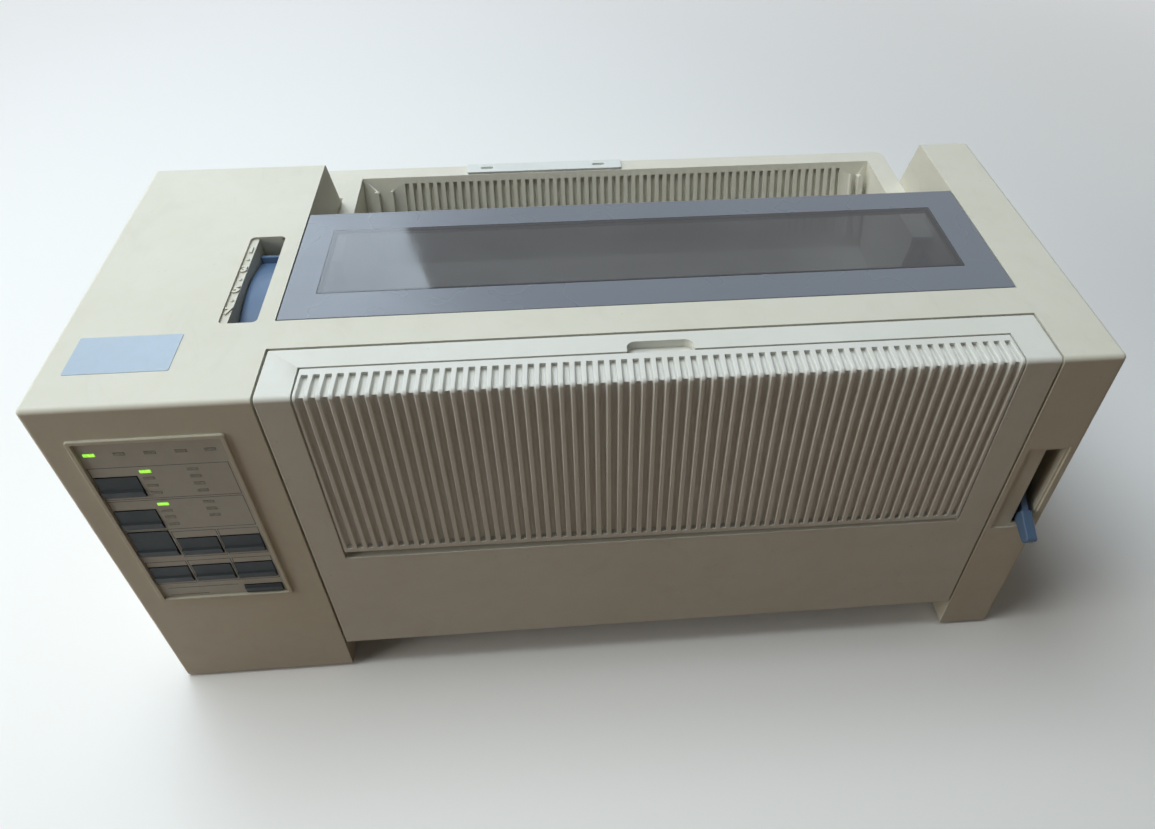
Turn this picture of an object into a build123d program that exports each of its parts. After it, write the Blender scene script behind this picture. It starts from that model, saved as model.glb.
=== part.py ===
from build123d import *
import math
import os

os.makedirs("parts", exist_ok=True)

# Wide forms printer with two end towers and the paper bay between them.
# Millimetres. X runs to the right, Y to the back, Z up. The origin lies on the table, midway
# between the tower sides and midway between the front faces and the rear edge.
# Places are given as X, as a depth behind the front faces and as a height above the case's bottom.
# A cut runs 1 mm past each face that it opens.

# ---------------------------------------------------------------- case
case_w = 584.0
case_h = 263.5
case_d = 304.0
foot_h = 3.0
foot_r = 9.0
foot_bevel = 0.8
foot_xs = (-262.0, 272.0)
foot_depths = (45.0, 274.0)
wall = 3.0
edge_r = 3.0
fit = 0.3
running = 0.05
pass_clear = 2.0
bay_left = -175.5
bay_right = 256.0
tower_top_d = 239.0
back_lean = 23.2
band_front_d = 40.0
band_rear_d = 64.0
band_flange_h = 12.0
ledge_reach = 6.0
window_front_d = 38.0
window_rear_d = 215.0
window_top_h = 205.0
tray_front_d = 34.0
tray_front_h = 38.0
vent_w = 3.0
vent_h = 42.0
vent_pitch = 12.0
vent_count = 22
front_y = -case_d / 2

# ---------------------------------------------------------------- screws
screw_r = 2.0
screw_l = 8.0
screw_head_r = 3.6
screw_head_h = 1.8
boss_w = 10.0
boss_h = 28.0
boss_front_d = 19.0
boss_rear_d = 285.0
tab_l = 16.0
tab_w = 12.0
tab_depths = (70.0, 248.0)

# ---------------------------------------------------------------- front cover and sheet guide
cover_gap = 1.4
cover_bottom_h = 28.5
cover_strip_d = 38.5
cover_wall = 3.0
cover_pin_r = 2.5
cover_pin_d = 4.5
cover_pin_h = 34.0
cover_end_d = 14.0
cover_end_top_h = 190.0
cover_brace_h = 225.0
flap_left = -154.5
flap_right = 234.0
flap_gap = 1.0
flap_top_d = 22.5
flap_bottom_h = 126.3
flap_sag = 3.5
flap_t = 5.5
flap_corner_r = 3.0
flap_low_r = 1.8
flap_pin_inset = 2.0
flap_pin_r = 1.8
flap_pin_d = 3.6
flap_pin_h = 131.5
groove_count = 62
groove_pitch = 6.25
groove_mouth_w = 3.7
groove_floor_w = 2.5
groove_t = 2.6
groove_end = 4.5
groove_top_d = 17.5
pocket_back_d = 9.0
pocket_wall = 2.5
pocket_sill_h = 124.5
pocket_back_top_h = 222.0
cheek_top_h = 245.0
grip_left = 20.0
grip_right = 57.0
grip_d = 8.0
grip_t = 5.5
grip_r = 5.0

# ---------------------------------------------------------------- access lid
lid_gap = 0.8
lid_rear_d = 175.5
lid_h = 10.0
lid_t = 4.0
lid_rim = 2.5
lid_bevel = 4.0
lid_bevel_h = 2.0
lid_pin_short = 0.5
lid_pin_d = 169.5
lid_pin_drop = 5.0
lid_pin_r = 2.5
pane_left = -156.5
pane_right = 233.0
pane_front_d = 88.0
pane_rear_d = 154.0
pane_t = 2.2
pane_lip = 3.0

# ---------------------------------------------------------------- rear guide
guide_h = 222.0
guide_wing_left = -192.0
guide_wing_d = 262.0
guide_side_d = 225.0
guide_gap = 1.0
guide_corner_r = 8.0
well_left = -164.0
well_right = 240.0
well_front_d = 178.0
well_rear_d = 290.0
well_lean = 18.0
well_turn_h = 154.0
well_floor_d = 192.0
well_floor_h = 146.0
well_wall_t = 5.0
well_floor_t = 3.0
well_side_t = 2.5
well_lap = 4.0
well_cheek_h = 176.0
well_cheek_top_h = 213.0
rib_count = 56
rib_pitch = 6.3
rib_gap_w = 3.1
rib_gap_t = 2.5
rib_gap_l = 57.0
rib_top_margin = 5.0
rib_first_x = -130.5
peg_w = 4.0
peg_l = 52.0
peg_t = 7.0
peg_margin = 10.0
peg_places = (-154.0, 233.5)
fin_w = 1.6
fin_t = 5.0
fin_places = (-142.0, 226.0)
plate_left = -82.5
plate_right = 39.5
plate_front_d = 290.5
plate_rear_d = 303.0
plate_t = 2.0
plate_corner_r = 1.5
plate_slot_l = 10.0
plate_slot_w = 3.0
plate_slot_places = (-67.0, 21.4)

# ---------------------------------------------------------------- name label
label_left = -278.0
label_right = -223.0
label_front_d = 26.0
label_rear_d = 56.0
label_t = 0.3
label_corner_r = 1.0

# ---------------------------------------------------------------- forms thickness lever
slot_left = -207.0
slot_right = -185.5
slot_front_d = 63.7
slot_rear_d = 149.6
slot_r = 3.0
ledge_w = 4.7
ledge_drop = 1.5
slot_lining_t = 1.5
slot_lining_h = 34.0
thick_pivot_d = 107.0
thick_pivot_h = 160.0
thick_rim_r = 96.0
thick_rim_t = 5.0
thick_rim_clear = 0.5
thick_hub_l = 13.0
thick_front_angle = -27.0
thick_rear_angle = 23.0
thick_bar_angle = 20.9
thick_bar_w = 4.0
thick_bar_h = 4.5
thick_arm_t = 3.0
thick_hub_r = 7.0
thick_bar_r = 1.2
thick_bar_sunk = 0.5
thick_pin_root = 2.0
lever_pin_r = 3.0

# ---------------------------------------------------------------- paper select lever
select_slot_left = 272.5
select_slot_right = 285.0
select_slot_bottom_h = 117.0
select_slot_top_h = 188.0
select_plate_left = 260.0
select_plate_right = 286.5
select_plate_bottom_h = 114.0
select_plate_top_h = 190.5
select_plate_t = 1.2
select_lining_d = 9.0
select_lining_t = 2.0
select_left = 275.0
select_right = 282.0
select_pivot_d = 45.0
select_pivot_h = 152.5
select_angle = 29.1
select_reach = 69.8
select_tab_reach = 50.0
select_tab_top = 3.5
select_tab_root = 8.5
select_tab_tip = 5.0
select_stem_left = 276.5
select_stem_right = 280.5
select_stem_w = 7.0
select_hub_r = 8.0
select_tip_r = 2.5
select_edge_r = 1.0

# ---------------------------------------------------------------- control panel
panel_left = -276.5
panel_right = -194.5
panel_bottom_h = 92.5
panel_top_h = 241.0
panel_rim = 2.6
panel_lip = 1.6
panel_proud = 1.5
panel_back_d = 3.4
panel_post_r = 2.5
panel_corner_r = 2.0
post_inset = 6.0
post_rise = 8.0
overlay_front_d = 0.2
overlay_t = 0.5
key_gap = 0.4
key_w = 22.8
key_proud = 1.4
key_ridge_fall = 0.6
key_sunk = 0.9
key_lip_h = 6.0
key_length = 7.5
key_travel = 1.5
key_flange = 1.0
key_flange_t = 1.2
key_flange_clear = 0.3
key_side_r = 0.6
key_ridge_fade = 0.6
column_1 = -261.6
column_2 = -236.1
column_3 = -211.1
# Each key: X of its middle, height of its middle, height of its face.
keys = [
    (column_1, 202.4, 16.6),
    (column_1, 173.6, 16.6),
    (column_1, 150.5, 23.2),
    (column_2, 146.4, 15.8),
    (column_3, 146.4, 15.8),
    (column_1, 119.6, 15.3),
    (column_2, 119.6, 15.3),
    (column_3, 119.6, 15.3),
    (column_3, 99.9, 7.6),
]
lens_w = 6.0
lens_h = 2.2
lens_proud = 0.2
status_h = 229.0
status_places = (-268.3, -252.8, -236.9, -220.9, -205.5)
list_places = (-244.4, -219.3)
upper_list_heights = (214.2, 208.5, 202.5, 196.4)
lower_list_heights = (186.3, 180.3, 174.4, 168.2)

# ---------------------------------------------------------------- mechanism frames
frame_gap = 1.5
frame_t = 2.0
frame_left_x = bay_left - wall - frame_gap
frame_right_x = bay_right + wall + frame_gap
frame_outline = [
    (36, wall), (286, wall), (286, 55), (226, 122), (206, 170), (196, 200), (140, 203),
    (66, 203), (36, 178),
]
mid_x = (bay_left + bay_right) / 2

# ---------------------------------------------------------------- platen and gear train
platen_d = 165.0
platen_h = 178.0
platen_r = 19.0
platen_end_gap = 2.5
platen_bevel = 1.0
shaft_r = 4.0
bush_r = 7.0
bush_flange_r = 9.0
bush_flange_t = 1.4
knob_r = 20.0
knob_l = 16.0
knob_gap = 1.2
knob_flutes = 20
knob_flute_r = 1.6
knob_corner_r = 2.0
knob_cap_t = 4.0
shaft_end = 3.0
module = 1.0
pressure_angle = 20.0
backlash = 0.2
gear_t = 6.0
gear_gap = 2.0
platen_teeth = 48
train_teeth = 50
tractor_teeth = 39
feed_idler_teeth = 36
pinion_teeth = 18
train_angle = 215.35
feed_angle = -68.0
stud_r = 3.0
stud_head_r = 4.5
stud_head_t = 1.2
gear_x0 = frame_right_x + frame_t + gear_gap

# ---------------------------------------------------------------- tractors
square_shaft_w = 8.0
journal_r = 3.9
support_rod_r = 3.0
support_rod_rise = 24.0
tractor_w = 18.0
tractor_front_d = 36.0
tractor_rear_d = 60.0
tractor_bottom_h = 62.0
tractor_top_h = 128.0
tractor_bore_r = 6.0
tractor_places = (-120.0, 200.0)
pin_pitch = 12.7
pin_r = 1.9
pin_l = 1.6
door_t = 2.6
door_gap = 0.4
door_slot_w = 5.0
door_margin = 4.0
ear_w = 5.0
ear_t = 2.4
door_pin_r = 1.5
knuckle_r = 2.3
knuckle_gap = 0.7
tractor_corner_r = 8.0

# ---------------------------------------------------------------- carriage and its drive
rod_d = 120.0
rod_h = 160.0
rod_r = 6.0
rail_d = 76.0
rail_h = 160.0
rail_w = 8.0
carriage_w = 40.0
carriage_front_d = 68.0
carriage_rear_d = 134.0
carriage_bottom_h = 151.0
carriage_top_h = 172.0
carriage_corner_r = 3.0
head_w = 34.0
head_front_d = 100.0
head_rear_d = 130.0
head_bottom_h = carriage_top_h
head_top_h = 196.0
head_fins = 5
head_fin_t = 1.6
head_back_t = 8.0
head_base_h = 6.0
nose_w = 12.0
nose_h = 10.0
nose_gap = 1.1
belt_d = 100.0
belt_h = 146.0
belt_w = 5.2
belt_t = 1.2
pulley_r = 8.0
pulley_l = 6.0
pulley_flange_r = 10.5
pulley_flange_t = 1.0
drive_pulley_x = -155.0
idler_pulley_x = 240.0
clamp_w = 12.0
clamp_t = 2.6
motor_r = 21.0
motor_l = 34.0
motor_shaft_r = 2.5
motor_flange_w = 44.0
motor_flange_t = 2.0
bracket_h = 135.0
bracket_t = 2.0
bracket_w = 46.0
idler_bracket_w = 32.0

# ---------------------------------------------------------------- paper chute and ribbon
chute_t = 1.5
chute_points = [(44, 133.4), (112, 133.4), (141, 146)]
chute_turn_r = 15.0
chute_notch = 2.0
cartridge_front_d = 70.0
cartridge_rear_d = 97.0
cartridge_bottom_h = 175.0
cartridge_top_h = 197.0
cartridge_arm_w = 10.0
cartridge_arm_bottom_h = 173.0
cartridge_arm_top_h = 187.0
arm_inset = 7.5
arm_lap = 3.0
cartridge_corner_r = 2.0
ribbon_w = 11.0
ribbon_t = 0.2
ribbon_gap = 0.6

# ---------------------------------------------------------------- electronics
board_left = -160.0
board_right = 235.0
board_front_d = 70.0
board_rear_d = 250.0
board_h = 14.0
board_t = 1.6
standoff_r = 4.0
standoff_inset = 10.0
chip_w = 32.0
chip_h = 4.0
chip_pitch = 45.0
chip_count = 6
chip_margin = 40.0
# Each row of chips: depth behind the board's front edge, length.
chip_rows = [(40, 14), (80, 16), (120, 10)]
can_r = 9.0
can_h = 24.0
can_inset = 25.0
can_depths = (50, 80, 110)
supply_left = -282.0
supply_right = -200.0
supply_front_d = 120.0
supply_rear_d = 262.0
transformer_w = 60.0
transformer_l = 52.0
transformer_h = 50.0
supply_margin = 8.0
sink_t = 4.0
sink_l = 60.0
sink_h = 36.0
supply_can_r = 13.0
supply_can_h = 34.0
supply_can_inset = (20.0, 25.0)
inlet_x = -258.0
inlet_h = 40.0
inlet_w = 27.0
inlet_height = 20.0
inlet_l = 22.0
inlet_wall = 2.5
inlet_floor = 4.0
inlet_blade_w = 2.0
inlet_blade_h = 4.0
inlet_blade_sunk = 6.0
# Each blade of the inlet: X and height from its middle.
inlet_blades = [(-6, -2), (0, 3), (6, -2)]
port_x = -212.0
port_h = 40.0
port_w = 56.0
port_height = 14.0
port_l = 14.0
port_end_wall = 4.0
port_wall = 3.0
rocker_d = 48.0
rocker_h = 46.0
rocker_l = 28.0
rocker_w = 14.0
rocker_tilt = 7.0
rocker_pin_r = 1.5
rocker_ear_t = 3.0
rocker_ear_w = 3.5
rocker_end_gap = 1.5
rocker_dip = 1.2
rocker_crown = 0.6
rocker_x = -case_w / 2 + wall + 2.0


# ---------------------------------------------------------------- helpers
def y_at(depth):
    """Y of a point this far behind the front faces."""
    return front_y + depth


def z_at(height):
    """Z of a point this far above the case's bottom."""
    return foot_h + height


def lean_height(depth):
    """Height of the towers' leaning back at this depth."""
    return case_h - (depth - tower_top_d) / math.tan(math.radians(back_lean))


def side_plane(x):
    """Plane at this X, drawn in depth and height and facing to the right."""
    return Plane(origin=(x, front_y, foot_h), x_dir=(0, 1, 0), z_dir=(1, 0, 0))


def face_plane(depth):
    """Plane at this depth, drawn in X and height and facing the front."""
    return Plane(origin=(0, y_at(depth), foot_h), x_dir=(1, 0, 0), z_dir=(0, -1, 0))


def level_plane(height):
    """Plane at this height, drawn in X and depth and facing up."""
    return Plane(origin=(0, front_y, z_at(height)), x_dir=(1, 0, 0), z_dir=(0, 0, 1))


def block(x0, x1, d0, d1, h0, h1, mode=Mode.ADD):
    """Box between two corners, given as X, depth and height."""
    with Locations(((x0 + x1) / 2, y_at((d0 + d1) / 2), z_at((h0 + h1) / 2))):
        Box(x1 - x0, d1 - d0, h1 - h0, mode=mode)


def bar(x0, x1, depth, height, radius, mode=Mode.ADD):
    """Round bar along X between two ends."""
    with Locations(((x0 + x1) / 2, y_at(depth), z_at(height))):
        Cylinder(radius, x1 - x0, rotation=(0, 90, 0), mode=mode)


def post(x, depth, h0, h1, radius, mode=Mode.ADD):
    """Upright round bar between two heights."""
    with Locations((x, y_at(depth), z_at((h0 + h1) / 2))):
        Cylinder(radius, h1 - h0, mode=mode)


def slab(x0, x1, points, mode=Mode.ADD):
    """Outline in depth and height, extruded from one X to the other."""
    with BuildSketch(side_plane(x0)) as outline:
        with BuildLine():
            Polyline(*points, close=True)
        make_face()
    extrude(outline.sketch, amount=x1 - x0, mode=mode)


def finish(builder, name):
    """Name a finished piece and write it to its own file."""
    builder.part.label = name
    export_step(builder.part, f"parts/{name}.step")


def polar(depth, height, radius, angle):
    """Depth and height of a point on a circle; angle 0 points to the back, 90 up."""
    turn = math.radians(angle)
    return (depth + radius * math.cos(turn), height + radius * math.sin(turn))


def pitch_r(teeth):
    """Pitch radius of a gear."""
    return module * teeth / 2


def involute(radius, base):
    """Involute function at this radius of a gear with this base circle."""
    angle = math.acos(min(1.0, base / radius))
    return math.tan(angle) - angle


def gear_outline(teeth, centre, tooth_angle):
    """Involute gear outline in depth and height, with one tooth's middle at tooth_angle."""
    pitch = pitch_r(teeth)
    base = pitch * math.cos(math.radians(pressure_angle))
    root = pitch - 1.25 * module
    tip = pitch + 0.95 * module
    flank_start = max(base, root)
    flank = [flank_start + (tip - flank_start) * step / 3 for step in range(4)]
    half_tooth = math.pi / (2 * teeth) - backlash / (2 * pitch) + involute(pitch, base)
    points = []
    for tooth in range(teeth):
        middle = tooth_angle + 360 * tooth / teeth
        root_half = math.degrees(half_tooth)
        points.append(polar(*centre, root, middle - root_half))
        for radius in flank:
            half = math.degrees(half_tooth - involute(radius, base))
            points.append(polar(*centre, radius, middle - half))
        for radius in reversed(flank):
            half = math.degrees(half_tooth - involute(radius, base))
            points.append(polar(*centre, radius, middle + half))
        points.append(polar(*centre, root, middle + root_half))
    return points


def mesh_angle(direction, tooth_angle, teeth, next_teeth):
    """Tooth angle that puts the next gear, in this direction, in mesh with this one."""
    phase = 180 - (direction - tooth_angle) * teeth
    return direction + 180 - phase / next_teeth


# ---------------------------------------------------------------- places that follow
lean_end_h = lean_height(case_d)
tower_outline = [(0, 0), (0, case_h), (tower_top_d, case_h), (case_d, lean_end_h), (case_d, 0)]
axis_platen = (platen_d, platen_h)
axis_train_1 = polar(*axis_platen, pitch_r(platen_teeth) + pitch_r(train_teeth), train_angle)
axis_train_2 = polar(*axis_train_1, 2 * pitch_r(train_teeth), train_angle)
axis_tractor = polar(*axis_train_2, pitch_r(train_teeth) + pitch_r(tractor_teeth), train_angle)
axis_idler = polar(*axis_platen, pitch_r(platen_teeth) + pitch_r(feed_idler_teeth), feed_angle)
axis_pinion = polar(*axis_idler, pitch_r(feed_idler_teeth) + pitch_r(pinion_teeth), feed_angle)
angle_platen = train_angle
angle_train_1 = mesh_angle(train_angle, angle_platen, platen_teeth, train_teeth)
angle_train_2 = mesh_angle(train_angle, angle_train_1, train_teeth, train_teeth)
angle_tractor = mesh_angle(train_angle, angle_train_2, train_teeth, tractor_teeth)
angle_idler = mesh_angle(feed_angle, angle_platen, platen_teeth, feed_idler_teeth)
angle_pinion = mesh_angle(feed_angle, angle_idler, feed_idler_teeth, pinion_teeth)
cover_left = bay_left + cover_gap
cover_right = bay_right - cover_gap
lid_left = bay_left + lid_gap
lid_right = bay_right - lid_gap
lid_front_d = band_rear_d + lid_gap
lid_bottom_h = case_h - lid_h
lid_pin_h = case_h - lid_pin_drop
gear_x1 = gear_x0 + gear_t
boss_x = case_w / 2 - wall - boss_w / 2
screw_places = [(x, d) for x in (-boss_x, boss_x) for d in (boss_front_d, boss_rear_d)]
tab_places = [
    (x, d)
    for x in (frame_left_x - frame_t - tab_l / 2, frame_right_x + frame_t + tab_l / 2)
    for d in tab_depths
]
lens_places = [(x, status_h) for x in status_places]
lens_places += [(x, h) for x in list_places for h in upper_list_heights]
lens_places += [(list_places[0], h) for h in lower_list_heights]
lens_places += [(list_places[1], h) for h in lower_list_heights[:3]]
lit_places = [
    (status_places[0], status_h),
    (list_places[0], upper_list_heights[0]),
    (list_places[0], lower_list_heights[0]),
]
unlit_places = [place for place in lens_places if place not in lit_places]

# ================================================================ rubber feet
foot_places = [(x, y_at(d)) for x in foot_xs for d in foot_depths]
with BuildPart() as rubber_feet:
    with Locations(*[(x, y, foot_h / 2) for x, y in foot_places]):
        Cylinder(foot_r, foot_h)
    chamfer(rubber_feet.edges().group_by(Axis.Z)[0], foot_bevel)
finish(rubber_feet, "rubber_feet")

# ================================================================ base tray
tray_x = case_w / 2 - wall - fit
with BuildPart() as base_tray:
    block(-tray_x, tray_x, wall + fit, case_d - wall - fit, 0, wall)
    block(bay_left - wall - fit, bay_right + wall + fit, 0, tray_front_d, -1, wall + 1, Mode.SUBTRACT)
    block(bay_left + fit, bay_right - fit, tray_front_d, tray_front_d + wall, 0, tray_front_h)
    block(bay_left + fit, bay_right - fit, case_d - 2 * wall, case_d, 0, wall)
    block(bay_left + fit, bay_right - fit, case_d - wall, case_d, 0, lean_end_h - fit)
    with BuildSketch(face_plane(case_d - wall - 1)):
        with Locations((mid_x, lean_end_h / 2)):
            with GridLocations(vent_pitch, 0, vent_count, 1):
                SlotOverall(vent_h, vent_w, rotation=90)
    extrude(amount=-wall - 2, mode=Mode.SUBTRACT)
    for x in (board_left + standoff_inset, board_right - standoff_inset):
        for depth in (board_front_d + standoff_inset, board_rear_d - standoff_inset):
            post(x, depth, wall, board_h, standoff_r)
    for x, depth in screw_places + tab_places:
        post(x, depth, -1, wall + 1, screw_r + running, Mode.SUBTRACT)
finish(base_tray, "base_tray")

# ================================================================ top cover
with BuildPart() as top_cover:
    for x0, x1 in ((-case_w / 2, bay_left), (bay_right, case_w / 2)):
        slab(x0, x1, tower_outline)
    outer_sides = top_cover.faces().sort_by(Axis.X)
    rounded = ShapeList()
    for side in (outer_sides[0], outer_sides[-1]):
        rounded += side.edges().filter_by(lambda edge: edge.center().Z > foot_h + 1)
    front_top = top_cover.edges().filter_by(Axis.X).filter_by(
        lambda edge: edge.center().Z > z_at(case_h) - 1
    )
    fillet(rounded + front_top, edge_r)
    block(bay_left, bay_right, band_front_d, band_rear_d, case_h - band_flange_h, case_h)
    block(bay_left, bay_right, band_front_d + wall, band_rear_d - wall,
          case_h - band_flange_h - 1, case_h - wall, Mode.SUBTRACT)
    block(bay_left, bay_right, band_rear_d - wall, band_rear_d + ledge_reach,
          lid_bottom_h - fit - wall, lid_bottom_h - fit)
    # Each tower is a shell, open at its bottom.
    for x0, x1 in ((-case_w / 2, bay_left), (bay_right, case_w / 2)):
        with BuildSketch(side_plane(x0 + wall)):
            with BuildLine():
                Polyline(*tower_outline, close=True)
            make_face()
            offset(amount=-wall, kind=Kind.INTERSECTION, mode=Mode.REPLACE)
            with Locations((case_d / 2, 0)):
                Rectangle(case_d - 2 * wall, 3 * wall)
        extrude(amount=x1 - x0 - 2 * wall, mode=Mode.SUBTRACT)
    for x in (bay_left - wall / 2, bay_right + wall / 2):
        x0 = x - wall / 2 - 0.5
        x1 = x + wall / 2 + 0.5
        block(x0, x1, window_front_d, window_rear_d, -1, window_top_h, Mode.SUBTRACT)
        block(x0, x1, tray_front_d - fit, case_d + 1, -1, wall + fit, Mode.SUBTRACT)
        bar(x0, x1, cover_pin_d, cover_pin_h, cover_pin_r + running, Mode.SUBTRACT)
        bar(x0, x1, lid_pin_d, lid_pin_h, lid_pin_r + running, Mode.SUBTRACT)
    # Slot of the forms thickness lever: the numbered ledge along its left side, and a lining below
    # its left and rear edges.
    block(slot_left - wall, slot_left + ledge_w, slot_front_d - wall, slot_rear_d + wall,
          case_h - ledge_drop - wall, case_h - wall / 2)
    with BuildSketch(level_plane(case_h - ledge_drop)):
        with Locations(((slot_left + slot_right) / 2, (slot_front_d + slot_rear_d) / 2)):
            RectangleRounded(slot_right - slot_left, slot_rear_d - slot_front_d, slot_r)
    extrude(amount=ledge_drop + 1, mode=Mode.SUBTRACT)
    block(slot_left + ledge_w, slot_right, slot_front_d, slot_rear_d,
          case_h - ledge_drop - wall - 1, case_h - ledge_drop, Mode.SUBTRACT)
    for x1, d0, h1 in (
        (slot_left + ledge_w, slot_front_d, case_h - ledge_drop - wall / 2),
        (slot_right, slot_rear_d, case_h - wall / 2),
    ):
        block(slot_left + ledge_w - slot_lining_t, x1, d0, slot_rear_d + slot_lining_t,
              case_h - slot_lining_h, h1)
    # Slot of the paper select lever in its shallow plate, with a lining along its right side.
    block(select_plate_left, select_plate_right, -1, select_plate_t,
          select_plate_bottom_h, select_plate_top_h, Mode.SUBTRACT)
    block(select_slot_right, select_slot_right + select_lining_t, select_plate_t, select_lining_d,
          select_slot_bottom_h, select_slot_top_h)
    block(select_slot_left, select_slot_right, -1, wall + 1,
          select_slot_bottom_h, select_slot_top_h, Mode.SUBTRACT)
    # Openings for the panel, the platen knob, the rocker and the two sockets.
    block(panel_left + panel_lip, panel_right - panel_lip, -1, wall + 1,
          panel_bottom_h + panel_lip, panel_top_h - panel_lip, Mode.SUBTRACT)
    bar(case_w / 2 - wall - 1, case_w / 2 + 1, *axis_platen, shaft_r + pass_clear, Mode.SUBTRACT)
    block(-case_w / 2 - 1, -case_w / 2 + wall + 1, rocker_d - rocker_l / 2, rocker_d + rocker_l / 2,
          rocker_h - rocker_w / 2, rocker_h + rocker_w / 2, Mode.SUBTRACT)
    for h0 in (rocker_h - rocker_w / 2 - rocker_ear_t, rocker_h + rocker_w / 2):
        block(-case_w / 2 + wall / 2, rocker_x + rocker_ear_w, rocker_d - rocker_ear_w,
              rocker_d + rocker_ear_w, h0, h0 + rocker_ear_t)
        post(rocker_x, rocker_d, h0 - 1, h0 + rocker_ear_t + 1, rocker_pin_r + running, Mode.SUBTRACT)
    block(inlet_x - inlet_w / 2 - fit, inlet_x + inlet_w / 2 + fit, case_d - wall - 1, case_d + 1,
          inlet_h - inlet_height / 2 - fit, inlet_h + inlet_height / 2 + fit, Mode.SUBTRACT)
    block(port_x - port_w / 2 - fit, port_x + port_w / 2 + fit, case_d - wall - 1, case_d + 1,
          port_h - port_height / 2 - fit, port_h + port_height / 2 + fit, Mode.SUBTRACT)
    for x, depth in screw_places:
        half = boss_w / 2
        block(x - half, x + half, depth - half, depth + half, wall + fit, boss_h)
        post(x, depth, wall, boss_h - wall, screw_r + running, Mode.SUBTRACT)
finish(top_cover, "top_cover")

# ================================================================ case screws
with BuildPart() as case_screws:
    for x, depth in screw_places + tab_places:
        post(x, depth, -screw_head_h, 0, screw_head_r)
        post(x, depth, -screw_head_h / 2, screw_l, screw_r)
finish(case_screws, "case_screws")

# ================================================================ name label
with BuildPart() as name_label:
    block(label_left, label_right, label_front_d, label_rear_d, case_h, case_h + label_t)
    fillet(name_label.edges().filter_by(Axis.Z), label_corner_r)
finish(name_label, "name_label")

# ================================================================ front cover
end_outline = [
    (0, cover_bottom_h), (cover_end_d, cover_bottom_h), (cover_end_d, cover_end_top_h),
    (cover_strip_d, cover_brace_h), (cover_strip_d, case_h), (0, case_h),
]
pocket_left = flap_left - flap_gap
pocket_right = flap_right + flap_gap
pocket_top_d = flap_top_d + flap_gap
cheek_outline = [
    (0, pocket_sill_h), (pocket_back_d + pocket_wall, pocket_sill_h),
    (pocket_back_d + pocket_wall, pocket_back_top_h), (pocket_top_d + pocket_wall, cheek_top_h),
    (pocket_top_d + pocket_wall, case_h), (0, case_h),
]
with BuildPart() as front_cover:
    block(cover_left, cover_right, 0, cover_strip_d, cover_bottom_h, case_h)
    block(cover_left - 1, cover_right + 1, cover_wall, cover_strip_d + 1,
          cover_bottom_h - 1, case_h - cover_wall, Mode.SUBTRACT)
    block(pocket_left, pocket_right, -1, pocket_top_d, pocket_sill_h, case_h + 1, Mode.SUBTRACT)
    for x0 in (cover_left, cover_right - cover_wall):
        slab(x0, x0 + cover_wall, end_outline)
    # The guide's pocket: cheeks, sill, back wall and the edge of the top strip.
    for x0 in (pocket_left - pocket_wall, pocket_right):
        slab(x0, x0 + pocket_wall, cheek_outline)
    block(pocket_left - pocket_wall, pocket_right + pocket_wall, 0, pocket_back_d + pocket_wall,
          pocket_sill_h - pocket_wall, pocket_sill_h)
    block(pocket_left - pocket_wall, pocket_right + pocket_wall,
          pocket_back_d, pocket_back_d + pocket_wall, pocket_sill_h, pocket_back_top_h)
    block(pocket_left, pocket_right, pocket_top_d, pocket_top_d + pocket_wall,
          case_h - 3 * cover_wall, case_h)
    fillet(front_cover.edges().filter_by(Axis.X).filter_by(
        lambda edge: edge.center().Z > z_at(case_h) - 0.1 and edge.center().Y < front_y + 0.1
    ), edge_r)
    # Finger grip in the top strip, open to the guide.
    block(grip_left - wall, grip_right + wall, pocket_top_d, pocket_top_d + grip_d + wall,
          case_h - grip_t - wall, case_h - wall)
    with BuildSketch(level_plane(case_h - grip_t)):
        with Locations(((grip_left + grip_right) / 2, pocket_top_d)):
            RectangleRounded(grip_right - grip_left, 2 * grip_d, grip_r)
    extrude(amount=grip_t + 1, mode=Mode.SUBTRACT)
    for x0 in (cover_left - cover_gap - wall + 1, cover_right):
        bar(x0, x0 + cover_gap + wall - 1, cover_pin_d, cover_pin_h, cover_pin_r)
    for x0 in (pocket_left - pocket_wall - 0.5, pocket_right - 0.5):
        bar(x0, x0 + pocket_wall + 1, flap_pin_d, flap_pin_h, flap_pin_r + running, Mode.SUBTRACT)
finish(front_cover, "front_cover")

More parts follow.
